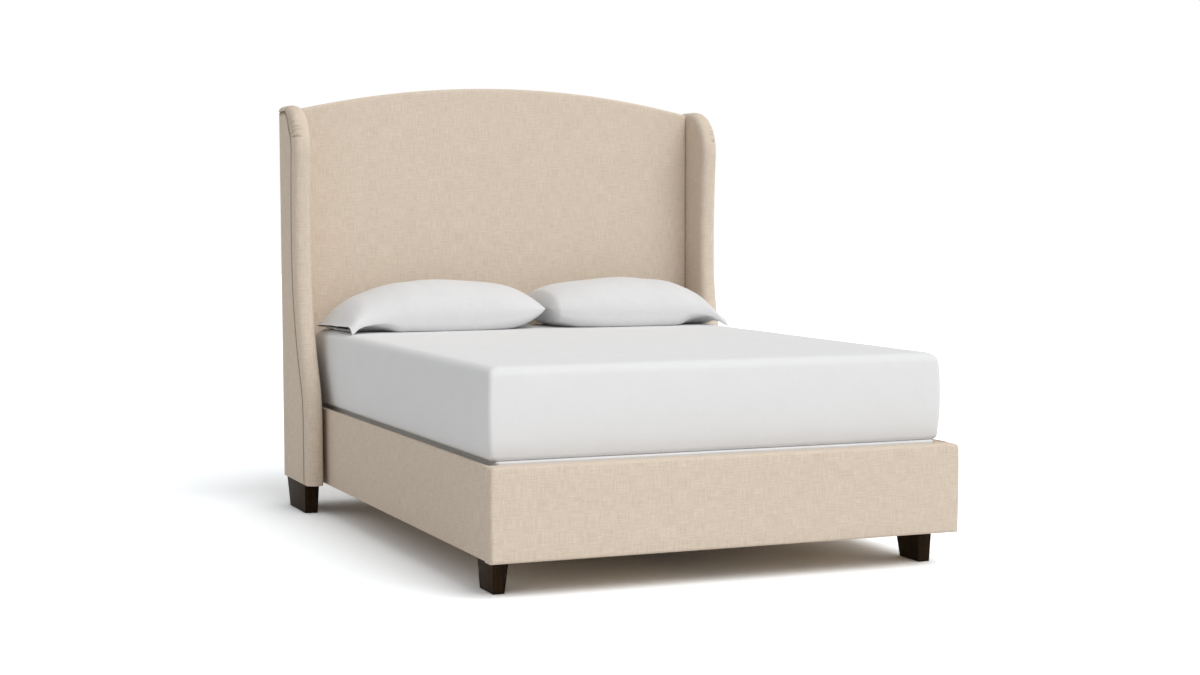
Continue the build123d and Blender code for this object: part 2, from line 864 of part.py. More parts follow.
def pillow(closed_x, open_x):
    back = headboard_front - pillow_head_gap
    front = back - pillow_depth
    base = deck_z + mattress_height + seat_gap
    sections = []
    for length, front_share, back_share, low_share, high_share in pillow_stations_share:
        near, far = front + front_share * pillow_depth, back - back_share * pillow_depth
        low, high = base + low_share * pillow_height, base + high_share * pillow_height
        middle, seam = (near + far) / 2, low + (high - low) * pillow_seam_share
        top = ThreePointArc((near, seam), (middle, high), (far, seam))
        underside = ThreePointArc((far, seam), (middle, low), (near, seam))
        plane = Plane.YZ.offset(along(closed_x, open_x, length))
        sections.append(plane * make_face([top, underside]))
    return split(loft(sections), bisect_by=Plane.XY.offset(base), keep=Keep.TOP)


def deck():
    meeting = pillow_meeting_offset
    return {
        "deck_side_tube_right": deck_side_tube(),
        "deck_side_tube_left": left_of(deck_side_tube()),
        "deck_cross_tubes": deck_cross_tubes(),
        "slats": slat_set(),
        "foundation": foundation(),
        "pull_strap": pull_strap(),
        "mattress": mattress(),
        "pillow_left": pillow(meeting - pillow_meeting_gap / 2, -mattress_outer - pillow_overhang),
        "pillow_right": pillow(meeting + pillow_meeting_gap / 2, mattress_outer + pillow_right_overhang),
    }


def rails():
    board, cover = side_rail()
    foot_board, foot_cover = footboard()
    return {
        "side_rail_right": board,
        "side_rail_left": left_of(board),
        "side_rail_cover_right": cover,
        "side_rail_cover_left": left_of(cover),
        "footboard_board": foot_board,
        "footboard_cover": foot_cover,
    }


def build():
    return {**headboard(), **wings(), **rails(), **legs(), **inner_base(), **lift(), **deck()}


os.makedirs("parts", exist_ok=True)
for node, shape in build().items():
    export_step(shape, f"parts/{node}.step")
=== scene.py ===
# Upholstered wing bed with a lift-up storage base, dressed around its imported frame
import math
import random

import bpy
import bmesh
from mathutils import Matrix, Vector, noise


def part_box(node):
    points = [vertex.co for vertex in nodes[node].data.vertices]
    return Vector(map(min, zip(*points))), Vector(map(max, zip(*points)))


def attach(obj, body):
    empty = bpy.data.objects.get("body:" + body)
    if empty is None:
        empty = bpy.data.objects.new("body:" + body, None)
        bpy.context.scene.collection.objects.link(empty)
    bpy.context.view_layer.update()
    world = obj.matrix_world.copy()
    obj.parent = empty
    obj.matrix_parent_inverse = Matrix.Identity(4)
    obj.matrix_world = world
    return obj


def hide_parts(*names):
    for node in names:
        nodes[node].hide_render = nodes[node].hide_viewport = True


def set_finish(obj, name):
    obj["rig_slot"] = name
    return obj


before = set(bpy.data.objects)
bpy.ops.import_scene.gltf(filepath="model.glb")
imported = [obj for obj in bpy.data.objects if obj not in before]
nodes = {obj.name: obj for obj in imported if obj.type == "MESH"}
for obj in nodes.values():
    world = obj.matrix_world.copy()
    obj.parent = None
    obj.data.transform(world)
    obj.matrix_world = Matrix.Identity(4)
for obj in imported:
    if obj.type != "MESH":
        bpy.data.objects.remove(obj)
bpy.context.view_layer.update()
print("frame loaded:", len(nodes), "nodes")


# Shared helpers

def deselectAll():
    bpy.ops.object.select_all(action="DESELECT")


def pick(obj):
    deselectAll()
    obj.select_set(True)
    bpy.context.view_layer.objects.active = obj


def startEdit(obj):
    # edit mode with the whole mesh selected
    pick(obj)
    bpy.ops.object.mode_set(mode="EDIT")
    bpy.ops.mesh.select_all(action="SELECT")


def endEdit():
    bpy.ops.object.mode_set(mode="OBJECT")


def extrude(*way):
    bpy.ops.mesh.extrude_region_move(TRANSFORM_OT_translate={"value": way})


def applyPlace(obj):
    pick(obj)
    bpy.ops.object.transform_apply(location=True, rotation=True, scale=True)


def applyModifiers(obj):
    pick(obj)
    for modifier in list(obj.modifiers):
        bpy.ops.object.modifier_apply(modifier=modifier.name)


def faceOutwards(obj):
    startEdit(obj)
    bpy.ops.mesh.normals_make_consistent(inside=False)
    endEdit()


def finishPiece(obj, smoothing, body, slot, *replaced):
    # smooths up to an angle in degrees and gives the finish of the slot
    pick(obj)
    bpy.ops.object.shade_smooth_by_angle(angle=math.radians(smoothing))
    obj.data.materials.clear()
    obj.data.materials.append(finishes[slot])
    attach(obj, body)
    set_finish(obj, slot)
    if replaced:
        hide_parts(*replaced)


def addBlock(name, low, high):
    low, high = Vector(low), Vector(high)
    deselectAll()
    bpy.ops.mesh.primitive_cube_add(size=1, location=(low + high) / 2)
    obj = bpy.context.object
    obj.name, obj.scale = name, high - low
    applyPlace(obj)
    return obj


def bevelWhere(obj, chosen, radius, segments):
    # rounds the edges whose two ends the test accepts
    startEdit(obj)
    bpy.ops.mesh.select_mode(type="EDGE")
    bpy.ops.mesh.select_all(action="DESELECT")
    mesh = bmesh.from_edit_mesh(obj.data)
    for edge in mesh.edges:
        edge.select_set(bool(chosen(edge.verts[0].co, edge.verts[1].co)))
    bmesh.update_edit_mesh(obj.data)
    bpy.ops.mesh.bevel(offset=radius, segments=segments, profile=0.5, affect="EDGES")
    endEdit()


def cutAcross(obj, axis, places):
    # straight cuts all round the piece, so that its faces can curve
    startEdit(obj)
    normal = Vector([index == axis for index in range(3)])
    for place in places:
        bpy.ops.mesh.select_all(action="SELECT")
        bpy.ops.mesh.bisect(plane_co=normal * place, plane_no=normal)
    endEdit()


def newObject(name, data):
    obj = bpy.data.objects.new(name, data)
    bpy.context.scene.collection.objects.link(obj)
    return obj


def newMesh(name, points, faces):
    mesh = bpy.data.meshes.new(name)
    mesh.from_pydata(points, [], faces)
    mesh.update()
    return newObject(name, mesh)


def gridFaces(rows, columns):
    starts = [row * columns + column for row in range(rows - 1) for column in range(columns - 1)]
    return [(a, a + 1, a + columns + 1, a + columns) for a in starts]


def near(a, b, gap=1e-4):
    return abs(a - b) < gap


def mix(a, b, share):
    return a + (b - a) * share


def spread(low, high, count):
    return [mix(low, high, (index + 1) / (count + 1)) for index in range(count)]


def smoothStep(low, high, value):
    share = min(max((value - low) / (high - low), 0), 1)
    return share * share * (3 - 2 * share)


def fade(low, high, value):
    return 1 - smoothStep(low, high, value)


def between(low, full, wane, gone, value):
    # rises from low to full and falls again from wane to gone
    return smoothStep(low, full, value) * fade(wane, gone, value)


def setShade(obj, shades):
    # painted shade for each point, deepest in seams and creases, which darkens the cloth's colour
    attribute = obj.data.attributes.new("paintedShade", "FLOAT", "POINT")
    attribute.data.foreach_set("value", shades)


# Materials

def newMaterial(name):
    material = bpy.data.materials.new(name)
    material.use_nodes = True
    tree = material.node_tree
    return material, tree, tree.nodes["Principled BSDF"]


def feed(tree, node, inputs):
    # each input, by name or number, gets a number, a colour or the output of another node
    for key, value in inputs.items():
        socket = node.inputs[key]
        if isinstance(value, bpy.types.NodeSocket):
            tree.links.new(value, socket)
        elif isinstance(value, tuple) and len(socket.default_value) == 4:
            socket.default_value = (*value, 1)
        else:
            socket.default_value = value


def addNode(tree, kind, inputs=None, **settings):
    node = tree.nodes.new("ShaderNode" + kind)
    for key, value in settings.items():
        setattr(node, key, value)
    feed(tree, node, inputs or {})
    return node


def mathNode(tree, operation, *values, clamp=False):
    return addNode(tree, "Math", dict(enumerate(values)), operation=operation, use_clamp=clamp).outputs[0]


def mapRange(tree, value, span, newSpan=(0, 1)):
    names = ("Value", "From Min", "From Max", "To Min", "To Max")
    return addNode(tree, "MapRange", dict(zip(names, (value, *span, *newSpan)))).outputs["Result"]


def mixColor(tree, factor, a, b, blendType="MIX"):
    return addNode(tree, "Mix", {0: factor, 6: a, 7: b}, data_type="RGBA", blend_type=blendType).outputs[2]


def mixValue(tree, factor, a, b):
    return addNode(tree, "Mix", {0: factor, 2: a, 3: b}, data_type="FLOAT").outputs[0]


def splitVector(tree, vector):
    return list(addNode(tree, "SeparateXYZ", {0: vector}).outputs)


def joinVector(tree, *parts):
    return addNode(tree, "CombineXYZ", dict(enumerate(parts))).outputs[0]


def timesVector(tree, vector, factor):
    return addNode(tree, "VectorMath", {0: vector, "Scale": factor}, operation="SCALE").outputs[0]


def mapped(tree, vector, **values):
    return addNode(tree, "Mapping", {"Vector": vector, **values}).outputs["Vector"]


def noiseAt(tree, vector, scale, detail=3, roughness=0.5):
    inputs = {"Vector": vector, "Scale": scale, "Detail": detail, "Roughness": roughness}
    return addNode(tree, "TexNoise", inputs).outputs["Fac"]


def addBump(tree, height, strength, distance):
    return addNode(tree, "Bump", {"Height": height, "Strength": strength, "Distance": distance}).outputs[0]


def startGroup(name, **inputs):
    # an input with no value is a vector
    group = bpy.data.node_groups.new(name, "ShaderNodeTree")
    for label, value in inputs.items():
        kind = "NodeSocketVector" if value is None else "NodeSocketFloat"
        socket = group.interface.new_socket(name=label, in_out="INPUT", socket_type=kind)
        if value is not None:
            socket.default_value = value
    return group, group.nodes.new("NodeGroupInput").outputs


def endGroup(group, kind, **outputs):
    for label in outputs:
        group.interface.new_socket(name=label, in_out="OUTPUT", socket_type=kind)
    feed(group, group.nodes.new("NodeGroupOutput"), outputs)
    return group


noiseSpan = (0.3, 0.7)  # where most values of a plain noise lie
weave = {
    "pitch": 0.0011, "slubs": ((0.050, 0.0030), (0.013, 0.0014)), "shortShare": 0.4, "toneSpan": (0.76, 1.24),
    "slubHeight": 0.55, "cloudScale": 9.0, "glossOfThread": 0.08, "sheenRough": 0.5, "specular": 0.2,
}
wood = {
    "grainSpan": (0.32, 0.68), "grainRough": 0.62, "poreSpan": (0.35, 0.6), "poreScale": 9.0,
    "roughOfPores": 0.15, "bump": 0.35, "relief": 0.0006,
}
hardware = {"cloudScale": 14.0, "roughSpread": 0.07, "relief": 0.0003}


def makeFlatCoordsGroup():
    # turns a place on a boxy piece into flat cloth coordinates, by the way that its face looks
    group, start = startGroup("clothCoords", Place=None, Normal=None)
    x, y, z = splitVector(group, start["Place"])
    size = [mathNode(group, "ABSOLUTE", part) for part in splitVector(group, start["Normal"])]
    sideways = mathNode(group, "GREATER_THAN", size[0], mathNode(group, "MAXIMUM", size[1], size[2]))
    upwards = mathNode(group, "GREATER_THAN", size[2], mathNode(group, "MAXIMUM", size[0], size[1]))
    flat = joinVector(group, mixValue(group, sideways, x, y), mixValue(group, upwards, z, y))
    return endGroup(group, "NodeSocketVector", Flat=flat)


def makeWeaveGroup():
    # threads both ways with thick and thin places; gives a colour mask, a height and a slow tone change
    group, start = startGroup("plainWeave", Flat=None, Pitch=weave["pitch"])
    flat = start["Flat"]
    threads = splitVector(group, timesVector(group, flat, mathNode(group, "DIVIDE", 1, start["Pitch"])))
    ridges = []
    for axis in range(2):
        turned = mathNode(group, "MULTIPLY", threads[axis], math.pi)
        ridges.append(mathNode(group, "ABSOLUTE", mathNode(group, "SINE", turned)))
    slubs = []
    for length, width in weave["slubs"]:
        across = noiseAt(group, mapped(group, flat, Scale=(1 / length, 1 / width, 1)), 1, detail=1)
        upright = noiseAt(group, mapped(group, flat, Scale=(1 / width, 1 / length, 1)), 1, detail=1)
        slubs.append(mathNode(group, "ADD", across, upright))
    tone = mapRange(group, mixValue(group, weave["shortShare"], *slubs), weave["toneSpan"])
    height = mixValue(group, weave["slubHeight"], mathNode(group, "MAXIMUM", *ridges), tone)
    cloud = noiseAt(group, flat, weave["cloudScale"])
    return endGroup(group, "NodeSocketFloat", Tone=tone, Height=height, Cloud=cloud)


def makeWoodGroup():
    # long grain lines with pores, along the group's X axis
    group, start = startGroup("woodGrain", Place=None, Stretch=14.0, Fineness=60.0)
    x, y, z = splitVector(group, start["Place"])
    drawnOut = joinVector(group, mathNode(group, "DIVIDE", x, start["Stretch"]), y, z)
    place = timesVector(group, drawnOut, start["Fineness"])
    lines = noiseAt(group, place, 1, detail=4, roughness=wood["grainRough"])
    grain = mapRange(group, lines, wood["grainSpan"])
    pores = mapRange(group, noiseAt(group, place, wood["poreScale"], detail=2), wood["poreSpan"])
    return endGroup(group, "NodeSocketFloat", Grain=grain, Pores=pores)


groups = {"coords": makeFlatCoordsGroup(), "weave": makeWeaveGroup(), "wood": makeWoodGroup()}


def useGroup(tree, name, **inputs):
    return addNode(tree, "Group", inputs, node_tree=groups[name]).outputs


def clothMaterial(name, look, useUv=False):
    material, tree, shader = newMaterial(name)
    coords = addNode(tree, "TexCoord").outputs
    flat = coords["UV"]
    if not useUv:
        flat = useGroup(tree, "coords", Place=coords["Object"], Normal=coords["Normal"])["Flat"]
    threads = useGroup(tree, "weave", Flat=flat, Pitch=look["pitch"])
    colour = mixColor(tree, threads["Tone"], look["dark"], look["light"])
    cloud = mapRange(tree, threads["Cloud"], noiseSpan, (1 - look["cloud"], 1 + look["cloud"]))
    colour = timesVector(tree, colour, cloud)
    if "paintedShade" in look:
        # painted shade in seams and gathers comes from an attribute and darkens the colour
        paintedShade = addNode(tree, "Attribute", attribute_name="paintedShade").outputs["Fac"]
        colour = mixColor(tree, paintedShade, colour, look["paintedShade"], "MULTIPLY")
    roughSpan = (look["rough"], look["rough"] - weave["glossOfThread"])
    feed(tree, shader, {
        "Base Color": colour, "Roughness": mapRange(tree, threads["Tone"], (0, 1), roughSpan),
        "Normal": addBump(tree, threads["Height"], look["bump"], look["relief"]),
        "Sheen Weight": look["sheen"], "Sheen Roughness": weave["sheenRough"],
        "Specular IOR Level": weave["specular"],
    })
    return material


def woodMaterial(name, look):
    material, tree, shader = newMaterial(name)
    place = mapped(tree, addNode(tree, "TexCoord").outputs["Object"], Rotation=look["turn"])
    grain = useGroup(tree, "wood", Place=place, Stretch=look["stretch"], Fineness=look["fineness"])
    colour = mixColor(tree, grain["Grain"], look["dark"], look["light"])
    pores = mathNode(tree, "MULTIPLY", grain["Pores"], look["pores"])
    roughSpan = (look["rough"], look["rough"] + wood["roughOfPores"])
    feed(tree, shader, {
        "Base Color": mixColor(tree, pores, colour, look["poreColor"]),
        "Roughness": mapRange(tree, grain["Pores"], (0, 1), roughSpan),
        "Normal": addBump(tree, grain["Grain"], wood["bump"], wood["relief"]),
        "Specular IOR Level": look["gloss"],
    })
    return material


def hardwareMaterial(name, look):
    material, tree, shader = newMaterial(name)
    place = addNode(tree, "TexCoord").outputs["Object"]
    fine = noiseAt(tree, place, look["grain"])
    slow = mapRange(tree, noiseAt(tree, place, hardware["cloudScale"], detail=2), noiseSpan)
    roughSpan = (look["rough"] - hardware["roughSpread"], look["rough"] + hardware["roughSpread"])
    feed(tree, shader, {
        "Base Color": mixColor(tree, slow, look["dark"], look["light"]),
        "Roughness": mapRange(tree, fine, noiseSpan, roughSpan),
        "Normal": addBump(tree, fine, look["bump"], hardware["relief"]),
        "Metallic": look["metallic"],
    })
    return material


linenLook = {
    "pitch": 0.0011, "dark": (0.614, 0.510, 0.403), "light": (0.757, 0.655, 0.550), "cloud": 0.012,
    # the crease colour is painted shade, multiplied in at seams and gathers
    "rough": 0.95, "bump": 0.3, "relief": 0.0004, "sheen": 0.04, "paintedShade": (0.36, 0.29, 0.22),
}
linenBand = clothMaterial("linenBand", linenLook, useUv=True)
# one material for each slot of the frame
finishes = {
    "linen": clothMaterial("linenFlat", linenLook),
    "mattress_cloth": clothMaterial("mattressKnit", {
        "pitch": 0.0016, "dark": (0.773, 0.775, 0.779), "light": (0.797, 0.799, 0.803), "cloud": 0.01,
        "rough": 0.9, "bump": 0.12, "relief": 0.0004, "sheen": 0.08,
    }),
    "foundation_cloth": clothMaterial("foundationCover", {
        "pitch": 0.0014, "dark": (0.74, 0.74, 0.74), "light": (0.83, 0.83, 0.825), "cloud": 0.015,
        "rough": 0.92, "bump": 0.2, "relief": 0.0005, "sheen": 0.1,
    }),
    "pillow_cloth": clothMaterial("pillowCotton", {
        "pitch": 0.0007, "dark": (0.70, 0.70, 0.705), "light": (0.745, 0.745, 0.745), "cloud": 0.01,
        "rough": 0.88, "bump": 0.1, "relief": 0.0003, "sheen": 0.05,
    }),
    "webbing": clothMaterial("webbing", {
        "pitch": 0.0022, "dark": (0.018, 0.018, 0.02), "light": (0.04, 0.04, 0.043), "cloud": 0.05,
        "rough": 0.7, "bump": 0.6, "relief": 0.001, "sheen": 0.1,
    }),
    "dark_wood": woodMaterial("espressoWood", {
        "turn": (0, math.radians(90), 0), "stretch": 12.0, "fineness": 95.0, "dark": (0.010, 0.006, 0.005),
        "light": (0.046, 0.023, 0.006), "poreColor": (0.007, 0.003, 0.001), "pores": 0.5, "rough": 0.55,
        "gloss": 0.08,
    }),
    "pine": woodMaterial("bareSoftwood", {
        "turn": (0, 0, 0), "stretch": 16.0, "fineness": 42.0, "dark": (0.52, 0.35, 0.19),
        "light": (0.72, 0.54, 0.34), "poreColor": (0.45, 0.29, 0.15), "pores": 0.25, "rough": 0.62,
        "gloss": 0.35,
    }),
    "ply": woodMaterial("barePlywood", {
        "turn": (0, 0, math.radians(90)), "stretch": 9.0, "fineness": 26.0, "dark": (0.46, 0.32, 0.19),
        "light": (0.64, 0.48, 0.31), "poreColor": (0.38, 0.25, 0.14), "pores": 0.3, "rough": 0.66,
        "gloss": 0.35,
    }),
    "black_steel": hardwareMaterial("blackPowderCoat", {
        "grain": 900.0, "dark": (0.016, 0.016, 0.017), "light": (0.026, 0.026, 0.027), "rough": 0.48,
        "bump": 0.5, "metallic": 0.0,
    }),
    "zinc_steel": hardwareMaterial("zincSteel", {
        "grain": 500.0, "dark": (0.42, 0.43, 0.45), "light": (0.58, 0.59, 0.6), "rough": 0.36,
        "bump": 0.15, "metallic": 1.0,
    }),
    "rod_chrome": hardwareMaterial("polishedRod", {
        "grain": 300.0, "dark": (0.58, 0.59, 0.6), "light": (0.66, 0.67, 0.68), "rough": 0.16,
        "bump": 0.03, "metallic": 1.0,
    }),
    "black_rubber": hardwareMaterial("blackRubber", {
        "grain": 700.0, "dark": (0.012, 0.012, 0.012), "light": (0.022, 0.022, 0.022), "rough": 0.8,
        "bump": 0.4, "metallic": 0.0,
    }),
}
print("materials made")


# Wings: a padded band round the front and top, and a flat panel inside its seam

wing = {
    "thickness": 0.060, "flare": 0.140, "bendShare": 0.232, "neckShare": 0.644, "lowerCurveShare": 0.27,
    "lean": math.radians(5.4), "cornerRadius": 0.165, "cornerArc": 0.2739, "topDrop": 0.0065,
    "seamInset": 0.064, "seamTopInset": 0.021, "grooveDepth": 0.004, "grooveWidth": 0.0036,
    # from the groove outwards: how far from the seam, how high over the panel
    "seamShape": ((0, -0.004), (0.0002, -0.002), (0.0012, 0.00081), (0.004, 0.00144), (0.012, 0.0014)),
    "proud": 0.0018, "innerSwell": 0.0025, "backProud": 0.0012, "endRound": 0.015, "wobble": 0.0006,
    "frontBoxy": 2.6, "lowBoxy": 2.0, "topBoxy": 2.1, "boxyFrom": (0.4, 1.1), "rollSteps": 28, "step": 0.010,
    "pleatStep": 0.0010, "pleats": 15, "pleatStart": 0.22, "pleatEnd": 0.97, "pleatBegin": 0.022,
    "pleatStrength": (0.50, 0.90), "pleatLength": (0.072, 0.108), "pleatSlant": (0.6, 1.6),
    "firstPleat": (1.0, 0.0, 0.094, 1.1), "pleatFades": (0.006, 0.026), "pleatDepth": 0.0024,
    "pleatTail": 0.0040, "pleatShade": 0.85, "seamShade": 0.013,
}
panel = {
    "step": 0.008, "clear": 0.012, "innerLap": 0.001, "lowEdge": 0.0015, "rim": 0.0025, "rise": 0.0013,
    "plainRim": 0.0075, "plainFall": 0.0012, "shade": 0.85,
}


def wingPath():
    # the front and top edge as (y, z, heading, isCorner), from the front's bottom to the back of the top
    low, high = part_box("wing_cover_right")
    bendZ, neckZ = high.z * wing["bendShare"], high.z * wing["neckShare"]
    turn = 2 * math.atan(wing["flare"] / (neckZ - bendZ))
    radii, lowShare = (neckZ - bendZ) / math.sin(turn), wing["lowerCurveShare"]
    corner, lean = wing["cornerRadius"], wing["lean"]
    leanTop = high.z - wing["topDrop"] - corner * (1 + math.sin(lean))
    # each stretch: its length, its turn in all, whether it is the pleated corner
    stretches = (
        (bendZ - low.z, 0, False),
        (radii * lowShare * turn, turn, False),
        (radii * (1 - lowShare) * turn, -turn, False),
        ((leanTop - neckZ) / math.sin(lean) * lean, -lean, False),
        (corner * (math.pi / 2 + lean), math.pi / 2 + lean, True),
        (None, 0, False),
    )
    y, z, heading = low.y, low.z, 0.0
    path = [(y, z, heading, False)]
    for length, bend, isCorner in stretches:
        if length is None:
            length = high.y + wing["backProud"] - y
        step = wing["pleatStep"] if isCorner or path[-1][3] else wing["step"]
        count = max(2, round(length / step))
        half = bend / count / 2
        chord = length / count * (math.sin(half) / half if half else 1)
        for index in range(count):
            heading += half
            y += math.sin(heading) * chord
            z += math.cos(heading) * chord
            heading += half
            path.append((y, z, heading, isCorner))
    return path


def inwards(place, depth):
    y, z, heading = place[:3]
    return y + math.cos(heading) * depth, z - math.sin(heading) * depth


def topShare(heading):
    return smoothStep(math.pi / 4, math.pi / 2, heading)


def seamRoom(heading):
    # how far the seam runs from the edge; over the top it is nearer
    return mix(wing["seamInset"], wing["seamTopInset"], topShare(heading))


def makePleats():
    # each gather: its place round the corner, strength, start and end across the band, slant
    rng = random.Random(7)
    rows = []
    for index in range(wing["pleats"]):
        place = mix(wing["pleatStart"], wing["pleatEnd"], (index + 0.6 * rng.random()) / wing["pleats"])
        strength, begin = rng.uniform(*wing["pleatStrength"]), wing["pleatBegin"] * rng.random() ** 2
        end, slant = rng.uniform(*wing["pleatLength"]), rng.uniform(*wing["pleatSlant"])
        rows.append((place, strength, begin, end, slant))
    rows[0] = (wing["pleatStart"], *wing["firstPleat"])
    return rows


pleats = makePleats()


def pleatAt(share, across, inset):
    # how deep the gathers are at a share of the way round the corner
    depth, (rise, fall) = 0.0, wing["pleatFades"]
    for place, strength, begin, end, slant in pleats:
        away = (share - slant * inset - place) * wing["cornerArc"]
        if away > 0:
            length = between(begin, begin + rise, end - fall, end, across)
            depth += strength * length * math.exp(-away / wing["pleatTail"])
    return depth


def makeWingBand(side):
    path = wingPath()
    low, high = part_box("wing_cover_" + side)
    middle, radius = (low.x + high.x) / 2, wing["thickness"] / 2
    sign = 1 if side == "right" else -1
    outerX, innerX = radius + wing["proud"], -radius - wing["innerSwell"]
    rollMiddle, rollHalf = (outerX + innerX) / 2, (outerX - innerX) / 2
    seam = wing["seamInset"]

    def sectionAt(boxy):
        # from the groove round the roll to the inner face: (inset, x)
        section = [(seam - away, radius + height) for away, height in wing["seamShape"]]
        section.append((mix(radius, seam, 0.35), outerX))
        for index in range(wing["rollSteps"] + 1):
            angle = math.pi * index / wing["rollSteps"]
            turned = math.copysign(abs(math.cos(angle)) ** (2 / boxy), math.cos(angle))
            inset = radius - radius * abs(math.sin(angle)) ** (2 / boxy)
            section.append((inset, rollMiddle + rollHalf * turned))
        return section + [(mix(radius, seam, 0.5), innerX), (seam, innerX)]

    cornerLength = sum(place[3] for place in path)
    points, uvs, shades, cornerCount, travelled = [], [], [], 0, 0.0
    before = path[0]
    for place in path:
        y, z, heading, isCorner = place
        travelled += math.dist((y, z), before[:2])
        before = place
        cornerCount += isCorner or cornerCount > 0
        endShare = min(max((y - path[-1][0]) / wing["endRound"] + 1, 0), 1)
        endFall = wing["endRound"] * (1 - math.sqrt(1 - endShare * endShare))
        wobble = wing["wobble"] * noise.noise(Vector((travelled * 9, sign * 3.1, 0.5)))
        over, room = topShare(heading), seamRoom(heading)
        frontBoxy = mix(wing["lowBoxy"], wing["frontBoxy"], smoothStep(*wing["boxyFrom"], z))
        section = sectionAt(mix(frontBoxy, wing["topBoxy"], over))
        across, last = 0.0, section[0]
        for inset, x in section:
            across += math.dist((inset, x), last)
            last = (inset, x)
            # over the top the band lies flush with the panel and the seam runs nearer to the edge
            if x > radius:
                x = radius + (x - radius) * (1 - 0.9 * over)
            pleat = pleatAt(cornerCount / cornerLength, across, inset) if cornerCount else 0
            # the back end is rounded off, least of all at the seam
            push = wobble - pleat * wing["pleatDepth"] - endFall * (1 - min(inset / radius, 1))
            rollRoom = min(radius, room - 0.0004) if x > rollMiddle else radius
            if inset >= radius:
                inset = rollRoom + (inset - radius) * max(room - rollRoom, 0.0002) / (seam - radius)
                outward, sideways = 0.0, math.copysign(push, x)
            else:
                inset = inset * rollRoom / radius
                angle = math.atan2(x - rollMiddle, radius - inset + 1e-6)
                outward, sideways = math.cos(angle) * push, math.sin(angle) * push
            points.append((middle + sign * (x + sideways), *inwards(place, inset - outward)))
            uvs.append((across, travelled))
            # painted shade: dark along the seam's groove and in the valleys of the gathers
            seamShade = fade(0.35, 1, (across - wing["grooveDepth"]) / wing["seamShade"])
            shades.append(max(seamShade, min(wing["pleatShade"] * pleat, 1)))
    rows, columns = len(path), len(section)
    faces = gridFaces(rows, columns)
    # the side that the panel hides, then the two ends
    for start in range(0, (rows - 1) * columns, columns):
        faces.append((start, start + columns, start + 2 * columns - 1, start + columns - 1))
    faces += [tuple(range(columns)), tuple(range(rows * columns - 1, (rows - 1) * columns - 1, -1))]
    band = newMesh("wingBand_" + side, points, faces)
    setShade(band, shades)
    layer = band.data.uv_layers.new(name="cloth")
    for loop in band.data.loops:
        layer.data[loop.index].uv = uvs[loop.vertex_index]
    faceOutwards(band)
    finishPiece(band, 50, "base", "linen", "wing_cover_" + side)
    # the band's cloth follows its length; only the flat inner face reads its place
    band.data.materials[0] = linenBand
    band.data.materials.append(finishes["linen"])
    inner = middle + sign * innerX
    for face in band.data.polygons:
        onInner = [near(band.data.vertices[index].co.x, inner, 2e-4) for index in face.vertices]
        face.material_index = int(all(onInner))


def makeWingPanel(side):
    low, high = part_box("wing_cover_" + side)
    middle, radius = (low.x + high.x) / 2, wing["thickness"] / 2
    sign = 1 if side == "right" else -1
    back, bottom = high.y + wing["backProud"], low.z - wing["backProud"]
    inner, outer = middle - sign * (radius + wing["innerSwell"]), middle + sign * radius
    outline, innerOutline = [], []
    path = wingPath()
    for place in path:
        room = seamRoom(place[2])
        point = inwards(place, room)
        spaced = not outline or math.dist(point, outline[-1]) > panel["step"]
        if spaced and back - point[0] > panel["clear"] or place[0] == path[-1][0]:
            outline.append(point)
            # the roll is deeper on its inner side, and laps over the panel there
            innerOutline.append(inwards(place, max(room, radius) - panel["innerLap"]))
    top = outline[-1][1]
    for points in (outline, innerOutline):
        points[0] = (points[0][0], bottom)
        points[-1] = (back, points[-1][1])
        points.append((back, bottom))
    obj = newMesh("wingPanel_" + side, [(inner, y, z) for y, z in outline], [tuple(range(len(outline)))])
    startEdit(obj)
    extrude(sign * (wing["thickness"] + wing["innerSwell"] - wing["grooveDepth"]), 0, 0)
    bpy.ops.mesh.inset(thickness=wing["grooveWidth"], depth=0)
    extrude(sign * (wing["grooveDepth"] - panel["lowEdge"]), 0, 0)
    bpy.ops.mesh.inset(thickness=panel["rim"], depth=0)
    bpy.ops.transform.translate(value=(sign * panel["rise"], 0, 0))
    # a ring as wide as the painted seam shade, where that shade ends
    bpy.ops.mesh.inset(thickness=wing["seamShade"], depth=0)
    endEdit()
    for vertex in obj.data.vertices:
        if near(vertex.co.x, inner):
            nearest = min(range(len(outline)), key=lambda index: math.dist(outline[index], vertex.co[1:]))
            vertex.co.y, vertex.co.z = innerOutline[nearest]
            continue
        # the back and bottom rims are plain edges; only the seam has a groove
        rim = min(back - vertex.co.y, vertex.co.z - bottom)
        if rim < panel["plainRim"] and near(vertex.co.x, outer, 0.006) and top - vertex.co.z > panel["clear"]:
            vertex.co.x = outer - sign * (panel["plainFall"] if rim < 0.001 else 0)
    outerFaces = [face for face in obj.data.polygons if near(face.center.x, outer, 0.004)]
    inside = set(max(outerFaces, key=lambda face: face.area).vertices)
    # painted shade on the rim beside the seam's groove, none on the plain back and bottom rims
    setShade(obj, [
        panel["shade"] * (
            near(vertex.co.x, outer, 0.010) and vertex.index not in inside
            and min(back - vertex.co.y, vertex.co.z - bottom) > panel["clear"]
        ) for vertex in obj.data.vertices
    ])
    faceOutwards(obj)
    finishPiece(obj, 30, "base", "linen", "wing_side_panel_" + side)


for side in ("left", "right"):
    makeWingBand(side)
    makeWingPanel(side)
print("wings made")


# Headboard: one padded front with an arched top, and a cloth back between the wings

headboard = {
    "columns": 58, "rows": 44, "rise": 0.092, "sideRadius": 0.017, "topRadius": 0.011, "puff": 0.003,
    "puffReach": 0.26, "backProud": 0.0015, "backWelt": 0.0022,
}


def archTop(x, crown, half):
    radius = (half * half + headboard["rise"] ** 2) / (2 * headboard["rise"])
    return crown - (radius - math.sqrt(radius * radius - x * x))


